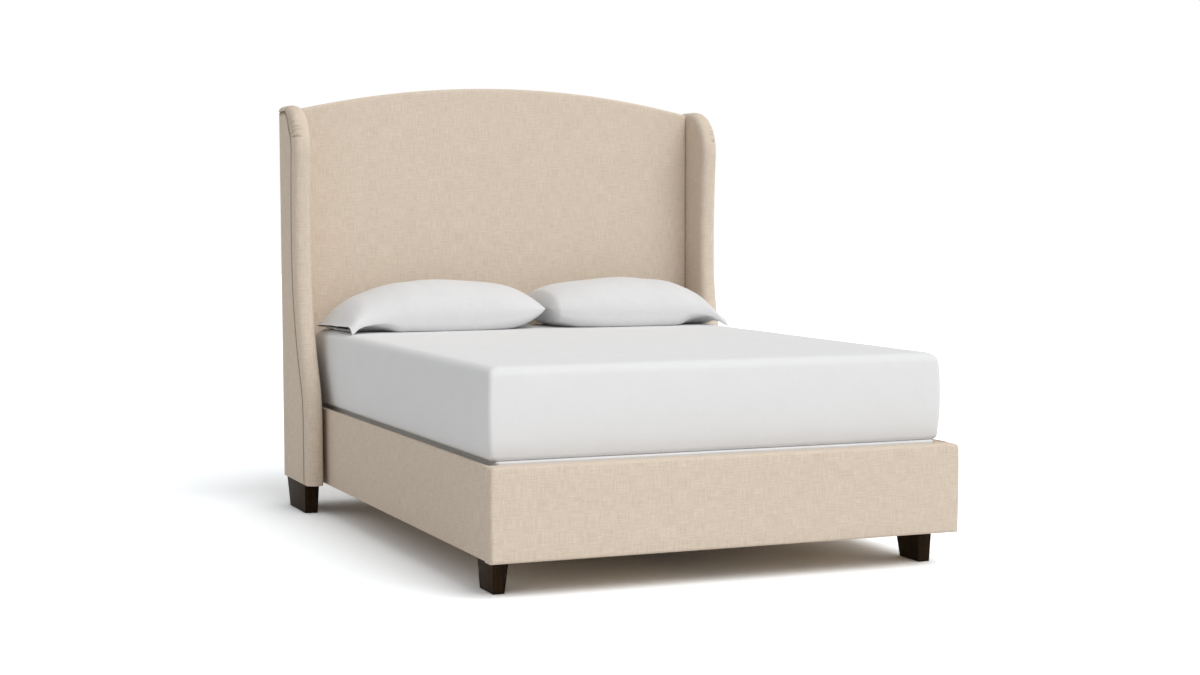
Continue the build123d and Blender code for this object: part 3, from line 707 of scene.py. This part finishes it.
def addArchSlab(name, low, high):
    # an upright grid under the arch, pulled back to its thickness
    half, height = (high.x - low.x) / 2, high.z - low.z
    deselectAll()
    bpy.ops.mesh.primitive_grid_add(
        x_subdivisions=headboard["columns"], y_subdivisions=headboard["rows"], size=1,
        rotation=(math.radians(90), 0, 0), location=(0, low.y, low.z + height / 2),
    )
    obj = bpy.context.object
    obj.name, obj.scale = name, (2 * half, height, 1)
    applyPlace(obj)
    for vertex in obj.data.vertices:
        share = (vertex.co.z - low.z) / height
        vertex.co.z = low.z + share * (archTop(vertex.co.x, high.z, half) - low.z)
    startEdit(obj)
    extrude(0, high.y - low.y, 0)
    endEdit()
    faceOutwards(obj)
    return obj


def makeHeadboardPad():
    low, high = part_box("headboard_pad")
    half = high.x
    pad = addArchSlab("headboardPad", low, high)

    def frontSide(a, b):
        return min(abs(a.x), abs(b.x)) > half - 1e-4 and max(a.y, b.y) < low.y + 1e-4

    def frontTop(a, b):
        atFront = max(a.y, b.y) < low.y + headboard["sideRadius"] + 1e-3
        return atFront and all(near(point.z, archTop(point.x, high.z, half), 1e-3) for point in (a, b))

    bevelWhere(pad, frontSide, headboard["sideRadius"], 6)
    bevelWhere(pad, frontTop, headboard["topRadius"], 5)
    for vertex in pad.data.vertices:
        if vertex.co.y < low.y + 1e-3:
            away = min(half - abs(vertex.co.x), archTop(vertex.co.x, high.z, half) - vertex.co.z)
            swell = smoothStep(headboard["sideRadius"], headboard["puffReach"], away)
            vertex.co.y -= headboard["puff"] * swell
    finishPiece(pad, 40, "base", "linen", "headboard_pad")


def makeHeadboardBack():
    low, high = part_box("headboard_back_panel")
    high.y += headboard["backProud"]
    back = addArchSlab("headboardBack", low, high)

    def onRim(point):
        atTop = near(point.z, archTop(point.x, high.z, high.x))
        return abs(point.x) > high.x - 1e-4 or point.z < low.z + 1e-4 or atTop

    def rim(a, b):
        # the grid's upright lines end on the rim too, so they are left out
        upright = abs(a.x) < high.x - 1e-4 and near(a.x, b.x, 1e-5)
        return min(a.y, b.y) > high.y - 1e-4 and onRim(a) and onRim(b) and not upright

    bevelWhere(back, rim, headboard["backWelt"], 3)
    finishPiece(back, 35, "base", "linen", "headboard_back_panel")


makeHeadboardPad()
makeHeadboardBack()
print("headboard made")


# Side rails and footboard: boards under tight linen with soft edges

rail = {
    "edge": 0.0045, "clearOfBoard": 0.0007, "sag": 0.0012, "cuts": 24, "cutsUp": 5, "proud": 0.0025,
    "topFall": 0.0052, "seam": 0.003, "seamShade": 0.012, "lip": 0.0095, "seamTop": 0.018, "shade": 0.8,
}
footboard = {
    "topEnd": 0.015, "edge": 0.0095, "backEdge": 0.003, "puff": 0.0018, "bow": 0.002, "cutsAcross": 40,
    "cutsUp": 6, "proud": 0.006,
}


def makeRailCover(side):
    low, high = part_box("side_rail_cover_" + side)
    sign = 1 if side == "right" else -1
    inner, outer = (low.x, high.x)[::sign]
    inner, outer = inner + sign * rail["clearOfBoard"], outer + sign * rail["proud"]
    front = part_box("footboard_cover")[1].y
    sides = sorted((inner, outer))
    cover = addBlock("railCover_" + side, (sides[0], front, low.z), (sides[1], high.y, high.z))

    def longEdge(a, b):
        return abs(a.y - b.y) > 0.5 and near(a.x, outer)

    def frontEnd(a, b):
        return max(a.y, b.y) < front + 1e-4 and near(a.x, outer, 0.006) and near(b.x, outer, 0.006)

    bevelWhere(cover, longEdge, rail["edge"], 6)
    bevelWhere(cover, frontEnd, rail["seam"], 3)
    # cuts where the painted seam shade fades out
    atSeam = [front + rail["seam"] + 0.001, front + rail["seamShade"]]
    cutAcross(cover, 1, atSeam + spread(front + 0.03, high.y, rail["cuts"]))
    up = spread(low.z + 2 * rail["edge"], high.z - 2 * rail["edge"], rail["cutsUp"])
    cutAcross(cover, 2, up + [high.z - rail["seamTop"]])
    cutAcross(cover, 0, [outer - sign * rail["lip"]])
    middle, half = (low.z + high.z) / 2, (high.z - low.z) / 2
    for vertex in cover.data.vertices:
        away = abs(vertex.co.x - outer)
        if away < 1e-4:
            share = (vertex.co.z - middle) / half
            vertex.co.x -= sign * rail["sag"] * (1 - share * share) * noise.noise(vertex.co * 2.2)
        if vertex.co.z > high.z - 1e-3:
            vertex.co.z -= rail["topFall"] * smoothStep(rail["edge"], rail["lip"], away)
    # painted shade at the seam with the footboard, fading out below the top edge
    setShade(cover, [
        rail["shade"] * fade(0.3, 1, (vertex.co.y - front) / rail["seamShade"])
        * fade(high.z - rail["seamTop"], high.z - rail["edge"] - 0.002, vertex.co.z)
        for vertex in cover.data.vertices
    ])
    finishPiece(cover, 40, "base", "linen", "side_rail_cover_" + side)


def makeFootboardCover():
    low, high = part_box("footboard_cover")
    low.x, high.x = low.x - footboard["proud"], high.x + footboard["proud"]
    cover = addBlock("footboardCover", low, high)

    def topEnd(a, b):
        return min(a.z, b.z) > high.z - 1e-4 and near(a.x, b.x)

    def backEdge(a, b):
        return min(a.y, b.y) > high.y - 1e-4 and max(a.z, b.z) > low.z + 1e-3

    bevelWhere(cover, topEnd, footboard["topEnd"], 8)
    bevelWhere(cover, lambda a, b: max(a.y, b.y) < low.y + 1e-4, footboard["edge"], 6)
    bevelWhere(cover, backEdge, footboard["backEdge"], 3)
    cutAcross(cover, 0, spread(low.x + 0.02, high.x - 0.02, footboard["cutsAcross"]))
    cutAcross(cover, 2, spread(low.z + 0.012, high.z - 0.018, footboard["cutsUp"]))
    middle, half = (low.z + high.z) / 2, (high.z - low.z) / 2
    for vertex in cover.data.vertices:
        share = (vertex.co.z - middle) / half
        if vertex.co.y < low.y + 1e-4:
            swell = footboard["puff"] * (1 - share * share) * smoothStep(0, 0.1, high.x - abs(vertex.co.x))
            vertex.co.y -= swell * (0.8 + 0.5 * noise.noise(vertex.co * 3.1))
        if abs(vertex.co.x) > high.x - 0.02:
            vertex.co.x += math.copysign(footboard["bow"] * (1 - share * share), vertex.co.x)
    finishPiece(cover, 40, "base", "linen", "footboard_cover")


for side in ("left", "right"):
    makeRailCover(side)
makeFootboardCover()
print("rails and footboard made")


# Legs: tapered planks with softened edges, over the bolts that hold them

leg = {"edge": 0.0014, "overGlide": 0.0032, "widerTop": 0.0085, "widerFoot": 0.002}


def makeLeg(node):
    # a copy of the solid with its loose triangles joined, so that its edges can be rounded
    mesh = nodes[node].data.copy()
    plank = newObject("plank_" + node, mesh)
    startEdit(plank)
    bpy.ops.mesh.remove_doubles(threshold=1e-5)
    bpy.ops.mesh.dissolve_limited(angle_limit=math.radians(1))
    endEdit()
    low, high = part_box(node)
    for vertex in mesh.vertices:
        up = (vertex.co.z - low.z) / (high.z - low.z)
        if node.startswith("front") and near(vertex.co.x, high.x):
            vertex.co.x += mix(leg["widerFoot"], leg["widerTop"], up)
        if up < 1e-3:
            vertex.co.z -= leg["overGlide"]
    foot = low.z - leg["overGlide"] + 1e-4

    def outside(a, b):
        upright = abs(a.z - b.z) > 0.05 and near(a.x, b.x, 0.016) and min(a.z, b.z) < foot
        return upright or max(a.z, b.z) < foot and (a - b).length > 0.03

    bevelWhere(plank, outside, leg["edge"], 4)
    finishPiece(plank, 35, "base", "dark_wood", node)


for node in ("front_leg_left", "front_leg_right", "back_leg_left", "back_leg_right"):
    makeLeg(node)
print("legs made")


# Foundation and mattress

foundation = {"corner": 0.012, "edge": 0.006, "sideGap": 0.011}
mattress = {
    "corner": 0.013, "topEdge": 0.030, "lowEdge": 0.014, "cuts": (46, 62, 9), "cutsFrom": (0.06, 0.06, 0.034),
    "bulge": 0.0075, "crown": 0.002, "wave": 0.0012,
}


def makeFoundation():
    low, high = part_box("foundation")
    low.x, high.x = low.x + foundation["sideGap"], high.x - foundation["sideGap"]
    base = addBlock("foundationCover", low, high)

    def uprightEdge(a, b):
        return abs(a.z - b.z) > 0.02 and near((a.xy - b.xy).length, 0, 1e-5)

    def rim(a, b):
        return near(a.z, b.z, 1e-5) and (near(a.z, low.z, 1e-5) or near(a.z, high.z, 1e-5))

    bevelWhere(base, uprightEdge, foundation["corner"], 10)
    bevelWhere(base, rim, foundation["edge"], 5)
    finishPiece(base, 40, "deck", "foundation_cloth", "foundation")


def makeMattress():
    low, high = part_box("mattress")
    block = addBlock("mattressBody", low, high)

    def mitred(point):
        return near(*(min(point[axis] - low[axis], high[axis] - point[axis]) for axis in range(2)))

    def cornerEdge(a, b):
        # the upright edges and the mitres that run on from them over the rounded rims
        return mitred(a) and mitred(b) and (a.xy - b.xy).length < mattress["topEdge"]

    bevelWhere(block, lambda a, b: min(a.z, b.z) > high.z - 1e-5, mattress["topEdge"], 8)
    bevelWhere(block, lambda a, b: max(a.z, b.z) < low.z + 1e-5, mattress["lowEdge"], 6)
    bevelWhere(block, cornerEdge, mattress["corner"], 8)
    for axis, (count, edge) in enumerate(zip(mattress["cuts"], mattress["cutsFrom"])):
        cutAcross(block, axis, spread(low[axis] + edge, high[axis] - edge, count))
    middle, half = (low + high) / 2, (high - low) / 2
    for vertex in block.data.vertices:
        share = [(vertex.co[axis] - middle[axis]) / half[axis] for axis in range(3)]
        wave = noise.noise(vertex.co * 2.6) + 0.5 * noise.noise(vertex.co * 6.1 + Vector((3, 1, 7)))
        swell = mattress["bulge"] * (1 - share[2] ** 2) + mattress["wave"] * wave
        for axis in range(2):
            vertex.co[axis] += math.copysign(swell, share[axis]) * smoothStep(0.9, 0.985, abs(share[axis]))
        lift = mattress["crown"] * (1 - share[0] ** 2) * (1 - share[1] ** 2) + 0.4 * mattress["wave"] * wave
        vertex.co.z += lift * smoothStep(0.9, 1, share[2])
    finishPiece(block, 50, "deck", "mattress_cloth", "mattress")


makeFoundation()
makeMattress()
print("foundation and mattress made")


# Pull strap behind the footboard: webbing folded to a loop and sewn at its upper end

strap = {
    "thick": 0.0017, "loop": 0.0030, "joined": 0.024, "steps": 26, "turns": 10, "columns": 9, "edge": 0.0005,
    "stitch": 0.0042, "thread": 0.0005, "threadEnd": 0.0002, "across": 6, "upright": 4,
    "seamSide": 0.005, "seamLow": 0.021, "seamHigh": 0.004,
}


def makePullStrap():
    low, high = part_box("pull_strap")
    middleY, top, bottom, loop = (low.y + high.y) / 2, high.z, low.z + strap["loop"], strap["loop"]
    leaf = []
    for step in range(strap["steps"]):
        z = mix(bottom, top, step / (strap["steps"] - 1))
        leaf.append((mix(loop, strap["thick"] * 0.52, smoothStep(bottom, top - strap["joined"], z)), z))
    angles = [math.pi * index / strap["turns"] for index in range(1, strap["turns"])]
    fold = [(-loop * math.cos(angle), bottom - loop * math.sin(angle)) for angle in angles]
    path = [(-opened, z) for opened, z in leaf[::-1]] + fold + leaf
    across = [mix(low.x, high.x, column / (strap["columns"] - 1)) for column in range(strap["columns"])]
    points = [(x, middleY + y, z) for y, z in path for x in across]
    webbing = newMesh("pullStrapLoop", points, gridFaces(len(path), len(across)))
    wall = webbing.modifiers.new("wall", "SOLIDIFY")
    wall.thickness, wall.offset = strap["thick"], 0
    edge = webbing.modifiers.new("edge", "BEVEL")
    edge.width, edge.segments, edge.limit_method = strap["edge"], 2, "ANGLE"
    applyModifiers(webbing)
    finishPiece(webbing, 50, "deck", "webbing", "pull_strap")
    # one stitch, then copies round a box seam
    left, right = low.x + strap["seamSide"], high.x - strap["seamSide"]
    lower, upper = top - strap["seamLow"], top - strap["seamHigh"]
    places = []
    for index in range(strap["across"] + 1):
        x = mix(left, right, index / strap["across"])
        places += [(x, lower, math.pi / 2), (x, upper, math.pi / 2)]
    for index in range(1, strap["upright"]):
        z = mix(lower, upper, index / strap["upright"])
        places += [(left, z, 0), (right, z, 0)]
    deselectAll()
    stitches = []
    for x, z, turn in places:
        bpy.ops.mesh.primitive_cylinder_add(
            vertices=8, radius=strap["thread"], depth=strap["stitch"],
            location=(x, middleY - strap["thick"] - 0.0001, z), rotation=(0, turn, 0),
        )
        stitches.append(bpy.context.object)
    for stitch in stitches:
        stitch.select_set(True)
    bpy.context.view_layer.objects.active = stitches[0]
    bpy.ops.object.join()
    seam = stitches[0]
    seam.name = "pullStrapStitches"
    applyPlace(seam)
    bevelWhere(seam, lambda a, b: (a - b).length < 0.0006, strap["threadEnd"], 2)
    finishPiece(seam, 60, "deck", "webbing")


makePullStrap()
print("pull strap made")


# Pillows: stuffed cases lying flat, closed ends together, open hems outwards and drooping

pillow = {
    "rings": 120, "around": 112, "closer": 1.25, "lining": 14, "thick": 0.0020, "mouthDepth": 0.085,
    "cornerBack": 0.026, "corner": 0.018, "fold": 0.0032, "pucker": 0.0014, "soft": 0.004, "hemSag": 0.0065,
    "rest": 0.0004, "hemRest": 0.0012, "askew": 0.026, "stuffedTo": (0.42, 0.70),
    "frames": 20, "start": 0.003, "evened": 12, "cap": 0.0032,
    # where along the case, or across it, each effect rises and falls
    "bluntSpan": (0, 0.030, 0.05, 0.30), "lateSpan": (0.5, 0.6, 0.70, 0.79),
    "droopSpan": (0.54, 0.61, 0.71, 0.79), "flatSpan": (0.52, 0.60, 0.770, 0.800),
    "sagAcross": (0.02, 0.10, 0.40, 0.72),
}
pillowFill = {
    "quality": 6, "mass": 0.3, "tension_stiffness": 12, "compression_stiffness": 12, "shear_stiffness": 6,
    "bending_stiffness": 0.6, "use_pressure": True, "uniform_pressure_force": 2.2,
    "vertex_group_pressure": "filling", "vertex_group_mass": "held",
}
# from the closed end to the hem: way along, front and back y, seam height front and back,
# height over and under the seam, how boxy the section is
pillowStations = (
    (0.000, 0.668, 0.942, 0.756, 0.755, 0.000, 0.000, 0.56),
    (0.010, 0.654, 0.952, 0.756, 0.755, 0.021, 0.014, 0.55),
    (0.028, 0.641, 0.961, 0.754, 0.755, 0.042, 0.031, 0.53),
    (0.060, 0.628, 0.969, 0.750, 0.754, 0.065, 0.049, 0.51),
    (0.100, 0.618, 0.973, 0.745, 0.752, 0.086, 0.063, 0.50),
    (0.160, 0.610, 0.975, 0.739, 0.750, 0.1045, 0.075, 0.50),
    (0.250, 0.605, 0.976, 0.735, 0.749, 0.118, 0.083, 0.50),
    (0.370, 0.604, 0.977, 0.733, 0.748, 0.1255, 0.085, 0.50),
    (0.500, 0.605, 0.975, 0.733, 0.748, 0.1230, 0.083, 0.50),
    (0.560, 0.606, 0.974, 0.733, 0.747, 0.1175, 0.070, 0.50),
    (0.590, 0.606, 0.973, 0.731, 0.746, 0.1130, 0.050, 0.50),
    (0.620, 0.606, 0.972, 0.728, 0.743, 0.1075, 0.035, 0.50),
    (0.650, 0.605, 0.970, 0.724, 0.738, 0.1000, 0.020, 0.49),
    (0.680, 0.603, 0.968, 0.719, 0.733, 0.0925, 0.011, 0.48),
    (0.710, 0.598, 0.966, 0.714, 0.726, 0.0865, 0.007, 0.46),
    (0.745, 0.589, 0.962, 0.7055, 0.716, 0.072, 0.004, 0.40),
    (0.775, 0.577, 0.957, 0.701, 0.706, 0.052, 0.002, 0.32),
    (0.797, 0.564, 0.951, 0.699, 0.697, 0.029, 0.000, 0.24),
    (0.810, 0.554, 0.947, 0.698, 0.692, 0.013, -0.0005, 0.18),
    (0.815, 0.550, 0.946, 0.698, 0.690, 0.0085, -0.001, 0.16),
)


def stationAt(way):
    # a smooth reading of the table between its rows
    rows = pillowStations
    index = max(i for i in range(len(rows) - 1) if rows[i][0] <= way + 1e-9)
    before, a, b, after = (rows[min(max(index + step, 0), len(rows) - 1)] for step in (-1, 0, 1, 2))
    span = b[0] - a[0]
    t = (way - a[0]) / span
    values = []
    for column in range(1, len(a)):
        leave = (b[column] - before[column]) / max(b[0] - before[0], 1e-6) * span
        arrive = (after[column] - a[column]) / max(after[0] - a[0], 1e-6) * span
        values.append(
            (2 * t ** 3 - 3 * t ** 2 + 1) * a[column] + (t ** 3 - 2 * t ** 2 + t) * leave
            + (3 * t ** 2 - 2 * t ** 3) * b[column] + (t ** 3 - t ** 2) * arrive
        )
    return values


def pillowPoint(way, turn, shrink, floor, look):
    # one point of the case: way along it, turn round it, shrunk a little for the lining
    last, seed = pillowStations[-1][0], look["seed"]
    # how blunt the closed end is, and where the stuffing leaves the mattress, differ a little
    ahead = look["blunt"] * between(*pillow["bluntSpan"], way)
    front, back, seamFront, seamBack, over, under, boxy = stationAt(min(way + ahead, last))
    late = look["late"] * between(*pillow["lateSpan"], way)
    if late:
        under, seamFront = stationAt(way - late)[5], stationAt(way - late)[2]
    seamFront -= look["droop"] * between(*pillow["droopSpan"], way)
    side = -math.cos(turn)
    share = (side + 1) / 2
    y = mix(front, back, share)
    # the hem's front corner hangs down to the mattress
    seam = mix(seamFront, seamBack, share)
    seam -= pillow["corner"] * math.exp(-(share / 0.05) ** 2) * smoothStep(0.762, last, way)
    top = math.sin(turn) > 0
    # the underside is squarer, flattened on the mattress
    full = max(1 - side * side, 0) ** (boxy if top else boxy * mix(0.5, 1, smoothStep(0.56, 0.68, way)))
    z = seam + over * full if top else seam - under * full
    if shrink:
        towards = Vector((0, (front + back) / 2 - y, seam + (over - under) * full / 2 - z))
        pull = towards.normalized() * min(shrink, towards.length * 0.45)
        y, z = y + pull.y, z + pull.z
    # folds run from the hem's front corner into the body, and small puckers from the closed seam
    hem = smoothStep(0.56, 0.74, way) * (1 - 0.45 * smoothStep(0.77, last, way))
    fold = math.sin(9.5 * share + 26 * (way - 0.6) * (0.4 - share) + seed)
    fold += 0.6 * math.sin(23 * share - 31 * way + 2.1 * seed) * (0.5 - abs(share - 0.5))
    fold *= hem * pillow["fold"]
    lowest = floor + pillow["rest"] + pillow["hemRest"] * smoothStep(0.70, last, way)
    if top:
        seamPull = math.exp(-way / 0.035) * math.sin(70 * share + seed) * pillow["pucker"]
        soft = noise.noise(Vector((way * 5, y * 5, z * 5 + seed))) * pillow["soft"] * min(full * 1.5, 1)
        z += (fold + seamPull) * full ** 0.5 + soft
    else:
        z += 0.3 * fold * full ** 0.5
        # behind its lifted front edge it rests on the mattress; at the hem it sags away from the top
        rest = smoothStep(0.08, 0.36, share) * between(*pillow["flatSpan"], way)
        z = mix(z, lowest + shrink, rest)
        sag = between(*pillow["sagAcross"], share) * (0.8 + 0.25 * math.sin(31 * share))
        z -= pillow["hemSag"] * sag * smoothStep(0.780, last, way)
    along = way - (1 - share) * pillow["cornerBack"] * smoothStep(0.70, last, way)
    return along, y, max(z, lowest)


def plump(case, stuffed, floor):
    # a short cloth simulation swells the stuffed length under a little pressure; the hem is held
    before = [vertex.co.copy() for vertex in case.data.vertices]
    for vertex, share in zip(case.data.vertices, stuffed):
        vertex.co -= vertex.normal * pillow["start"] * share
    filling = case.vertex_groups.new(name="filling")
    held = case.vertex_groups.new(name="held")
    for index, share in enumerate(stuffed):
        filling.add([index], share, "REPLACE")
        held.add([index], 1 - share, "REPLACE")
    cloth = case.modifiers.new("cloth", "CLOTH")
    for key, value in pillowFill.items():
        setattr(cloth.settings, key, value)
    cloth.settings.effector_weights.gravity = 0
    cloth.collision_settings.use_collision = False
    for frameNumber in range(1, pillow["frames"] + 1):
        bpy.context.scene.frame_set(frameNumber)
    evaluated = case.evaluated_get(bpy.context.evaluated_depsgraph_get())
    moves = [vertex.co - start for vertex, start in zip(evaluated.data.vertices, before)]
    case.modifiers.remove(cloth)
    bpy.context.scene.frame_set(1)
    # the moves are evened over neighbouring points, then capped
    neighbours = [[] for move in moves]
    for edge in case.data.edges:
        a, b = edge.vertices
        neighbours[a].append(b)
        neighbours[b].append(a)
    for passNumber in range(pillow["evened"]):
        moves = [
            (move + sum((moves[other] for other in beside), Vector()) / len(beside)) / 2
            for move, beside in zip(moves, neighbours)
        ]
    print(f"  {case.name}: cloth moved up to {max(move.length for move in moves) * 1000:.1f} mm")
    for vertex, start, move in zip(case.data.vertices, before, moves):
        if move.length > pillow["cap"]:
            move *= pillow["cap"] / move.length
        vertex.co = start + move
        vertex.co.z = max(vertex.co.z, floor + pillow["rest"])
    case.vertex_groups.clear()
    finer = case.modifiers.new("finer", "SUBSURF")
    finer.levels = finer.render_levels = 1
    applyModifiers(case)


def makePillow(side, closedX, hemX, look):
    floor, last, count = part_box("mattress")[1].z, pillowStations[-1][0], pillow["around"]
    stretch = (hemX - closedX) / last
    # the rings of the case as (way, shrink), closer together at the closed end, then those of the lining
    shares = [index / pillow["rings"] for index in range(1, pillow["rings"] + 1)]
    rings = [(share ** pillow["closer"] * last, 0.0) for share in shares]
    for index in range(1, pillow["lining"] + 1):
        rings.append((last - index / pillow["lining"] * pillow["mouthDepth"], pillow["thick"]))
    points = []
    for way, shrink in rings:
        for step in range(count):
            along, y, z = pillowPoint(way, 2 * math.pi * step / count, shrink, floor, look)
            askew = pillow["askew"] * smoothStep(0.60, 0.98, y) * fade(0, 0.34, along)
            points.append((closedX + along * stretch - askew, y, z))
    faces = []
    for start in range(0, (len(rings) - 1) * count, count):
        for step in range(count):
            a, b = start + step, start + (step + 1) % count
            faces.append((a, b, b + count, a + count))
    # the closed seam joins top and bottom; the lining ends in the dark
    for step in range(count // 2):
        seamFace = (step, step + 1, (count - step - 1) % count, (count - step) % count)
        faces.append(tuple(dict.fromkeys(seamFace)))
    faces.append(tuple(range(len(points) - count, len(points))))
    case = newMesh("pillowCase_" + side, points, faces)
    faceOutwards(case)
    stuffed = [0 if shrink else fade(*pillow["stuffedTo"], way) for way, shrink in rings]
    plump(case, [share for share in stuffed for step in range(count)], floor)
    finishPiece(case, 60, "deck", "pillow_cloth", "pillow_" + side)


makePillow("left", 0.058, -0.770, {"seed": 0.4, "late": 0.034, "blunt": 0.0, "droop": 0.008})
makePillow("right", 0.071, 0.795, {"seed": 2.6, "late": 0.050, "blunt": 0.042, "droop": 0.0})
print("pillows made")


# The CAD pieces that stay take the finish of their slot

for solid in nodes.values():
    slotName = solid.data.materials[0].name
    solid.data.materials.clear()
    solid.data.materials.append(finishes[slotName])
    solid["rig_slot"] = slotName
print("finishes given to the solids")


# Camera, light and floor

view = {
    "place": (-2.743, -6.741, 1.164), "yaw": 22.83, "pitch": 5.45, "lens": 62.13, "shift": (-0.01975, 0.051),
    "farthest": 60,
}
lights = {
    "broadSun": {"from": (0.27, -0.58, 0.77), "strength": 1.50, "angle": 44},
    "backFill": {"from": (-0.80, 0.52, 0.30), "strength": 0.27, "angle": 60},
    "sky": {"from": (0.75, -0.38, 0.54), "dark": 0.07, "bright": 0.79},
}
# for the rays that see it the floor is paler and a trace cooler, so that shadows on it stay neutral
studioFloor = {"size": 40, "place": (0, 6, 0), "colour": (0.86, 0.86, 0.86), "seenColour": (1.33, 1.37, 1.40)}


def makeCamera():
    data = bpy.data.cameras.new("camera")
    camera = newObject("camera", data)
    camera.location = view["place"]
    camera.rotation_euler = (math.radians(90 - view["pitch"]), 0, math.radians(-view["yaw"]))
    data.lens, data.clip_end = view["lens"], view["farthest"]
    data.shift_x, data.shift_y = view["shift"]
    bpy.context.scene.camera = camera


def makeSun(name):
    setting = lights[name]
    data = bpy.data.lights.new(name, "SUN")
    data.energy, data.angle = setting["strength"], math.radians(setting["angle"])
    lamp = newObject(name, data)
    lamp.location = Vector(setting["from"]) * 6
    lamp.rotation_euler = (-Vector(setting["from"])).to_track_quat("-Z", "Y").to_euler()


def whiteForRays(tree):
    path = addNode(tree, "LightPath").outputs
    seen = mathNode(tree, "ADD", path["Is Camera Ray"], path["Is Glossy Ray"], clamp=True)
    return mathNode(tree, "ADD", seen, path["Is Transmission Ray"], clamp=True)


def makeWorld():
    # lit from one side for the piece, plain white for the rays that see it
    sky = lights["sky"]
    world = bpy.data.worlds.new("studio")
    bpy.context.scene.world = world
    world.use_nodes = True
    tree = world.node_tree
    ways = {0: addNode(tree, "TexCoord").outputs["Generated"], 1: Vector(sky["from"]).normalized()}
    towards = addNode(tree, "VectorMath", ways, operation="DOT_PRODUCT").outputs["Value"]
    glow = mapRange(tree, towards, (-1, 1), (sky["dark"], sky["bright"]))
    seen = whiteForRays(tree)
    kept = mathNode(tree, "MULTIPLY", glow, mathNode(tree, "SUBTRACT", 1, seen))
    feed(tree, tree.nodes["Background"], {"Color": (1, 1, 1), "Strength": mathNode(tree, "ADD", kept, seen)})


def makeFloor():
    bpy.ops.mesh.primitive_plane_add(size=studioFloor["size"], location=studioFloor["place"])
    floor = bpy.context.object
    floor.name = "studioFloor"
    material, tree, shader = newMaterial("paleFloor")
    colour = mixColor(tree, whiteForRays(tree), studioFloor["colour"], studioFloor["seenColour"])
    feed(tree, shader, {"Base Color": colour, "Roughness": 1, "Specular IOR Level": 0})
    floor.data.materials.append(material)


makeCamera()
makeSun("broadSun")
makeSun("backFill")
makeWorld()
makeFloor()
bpy.context.scene.view_settings.view_transform = "Standard"
print("camera and light placed")
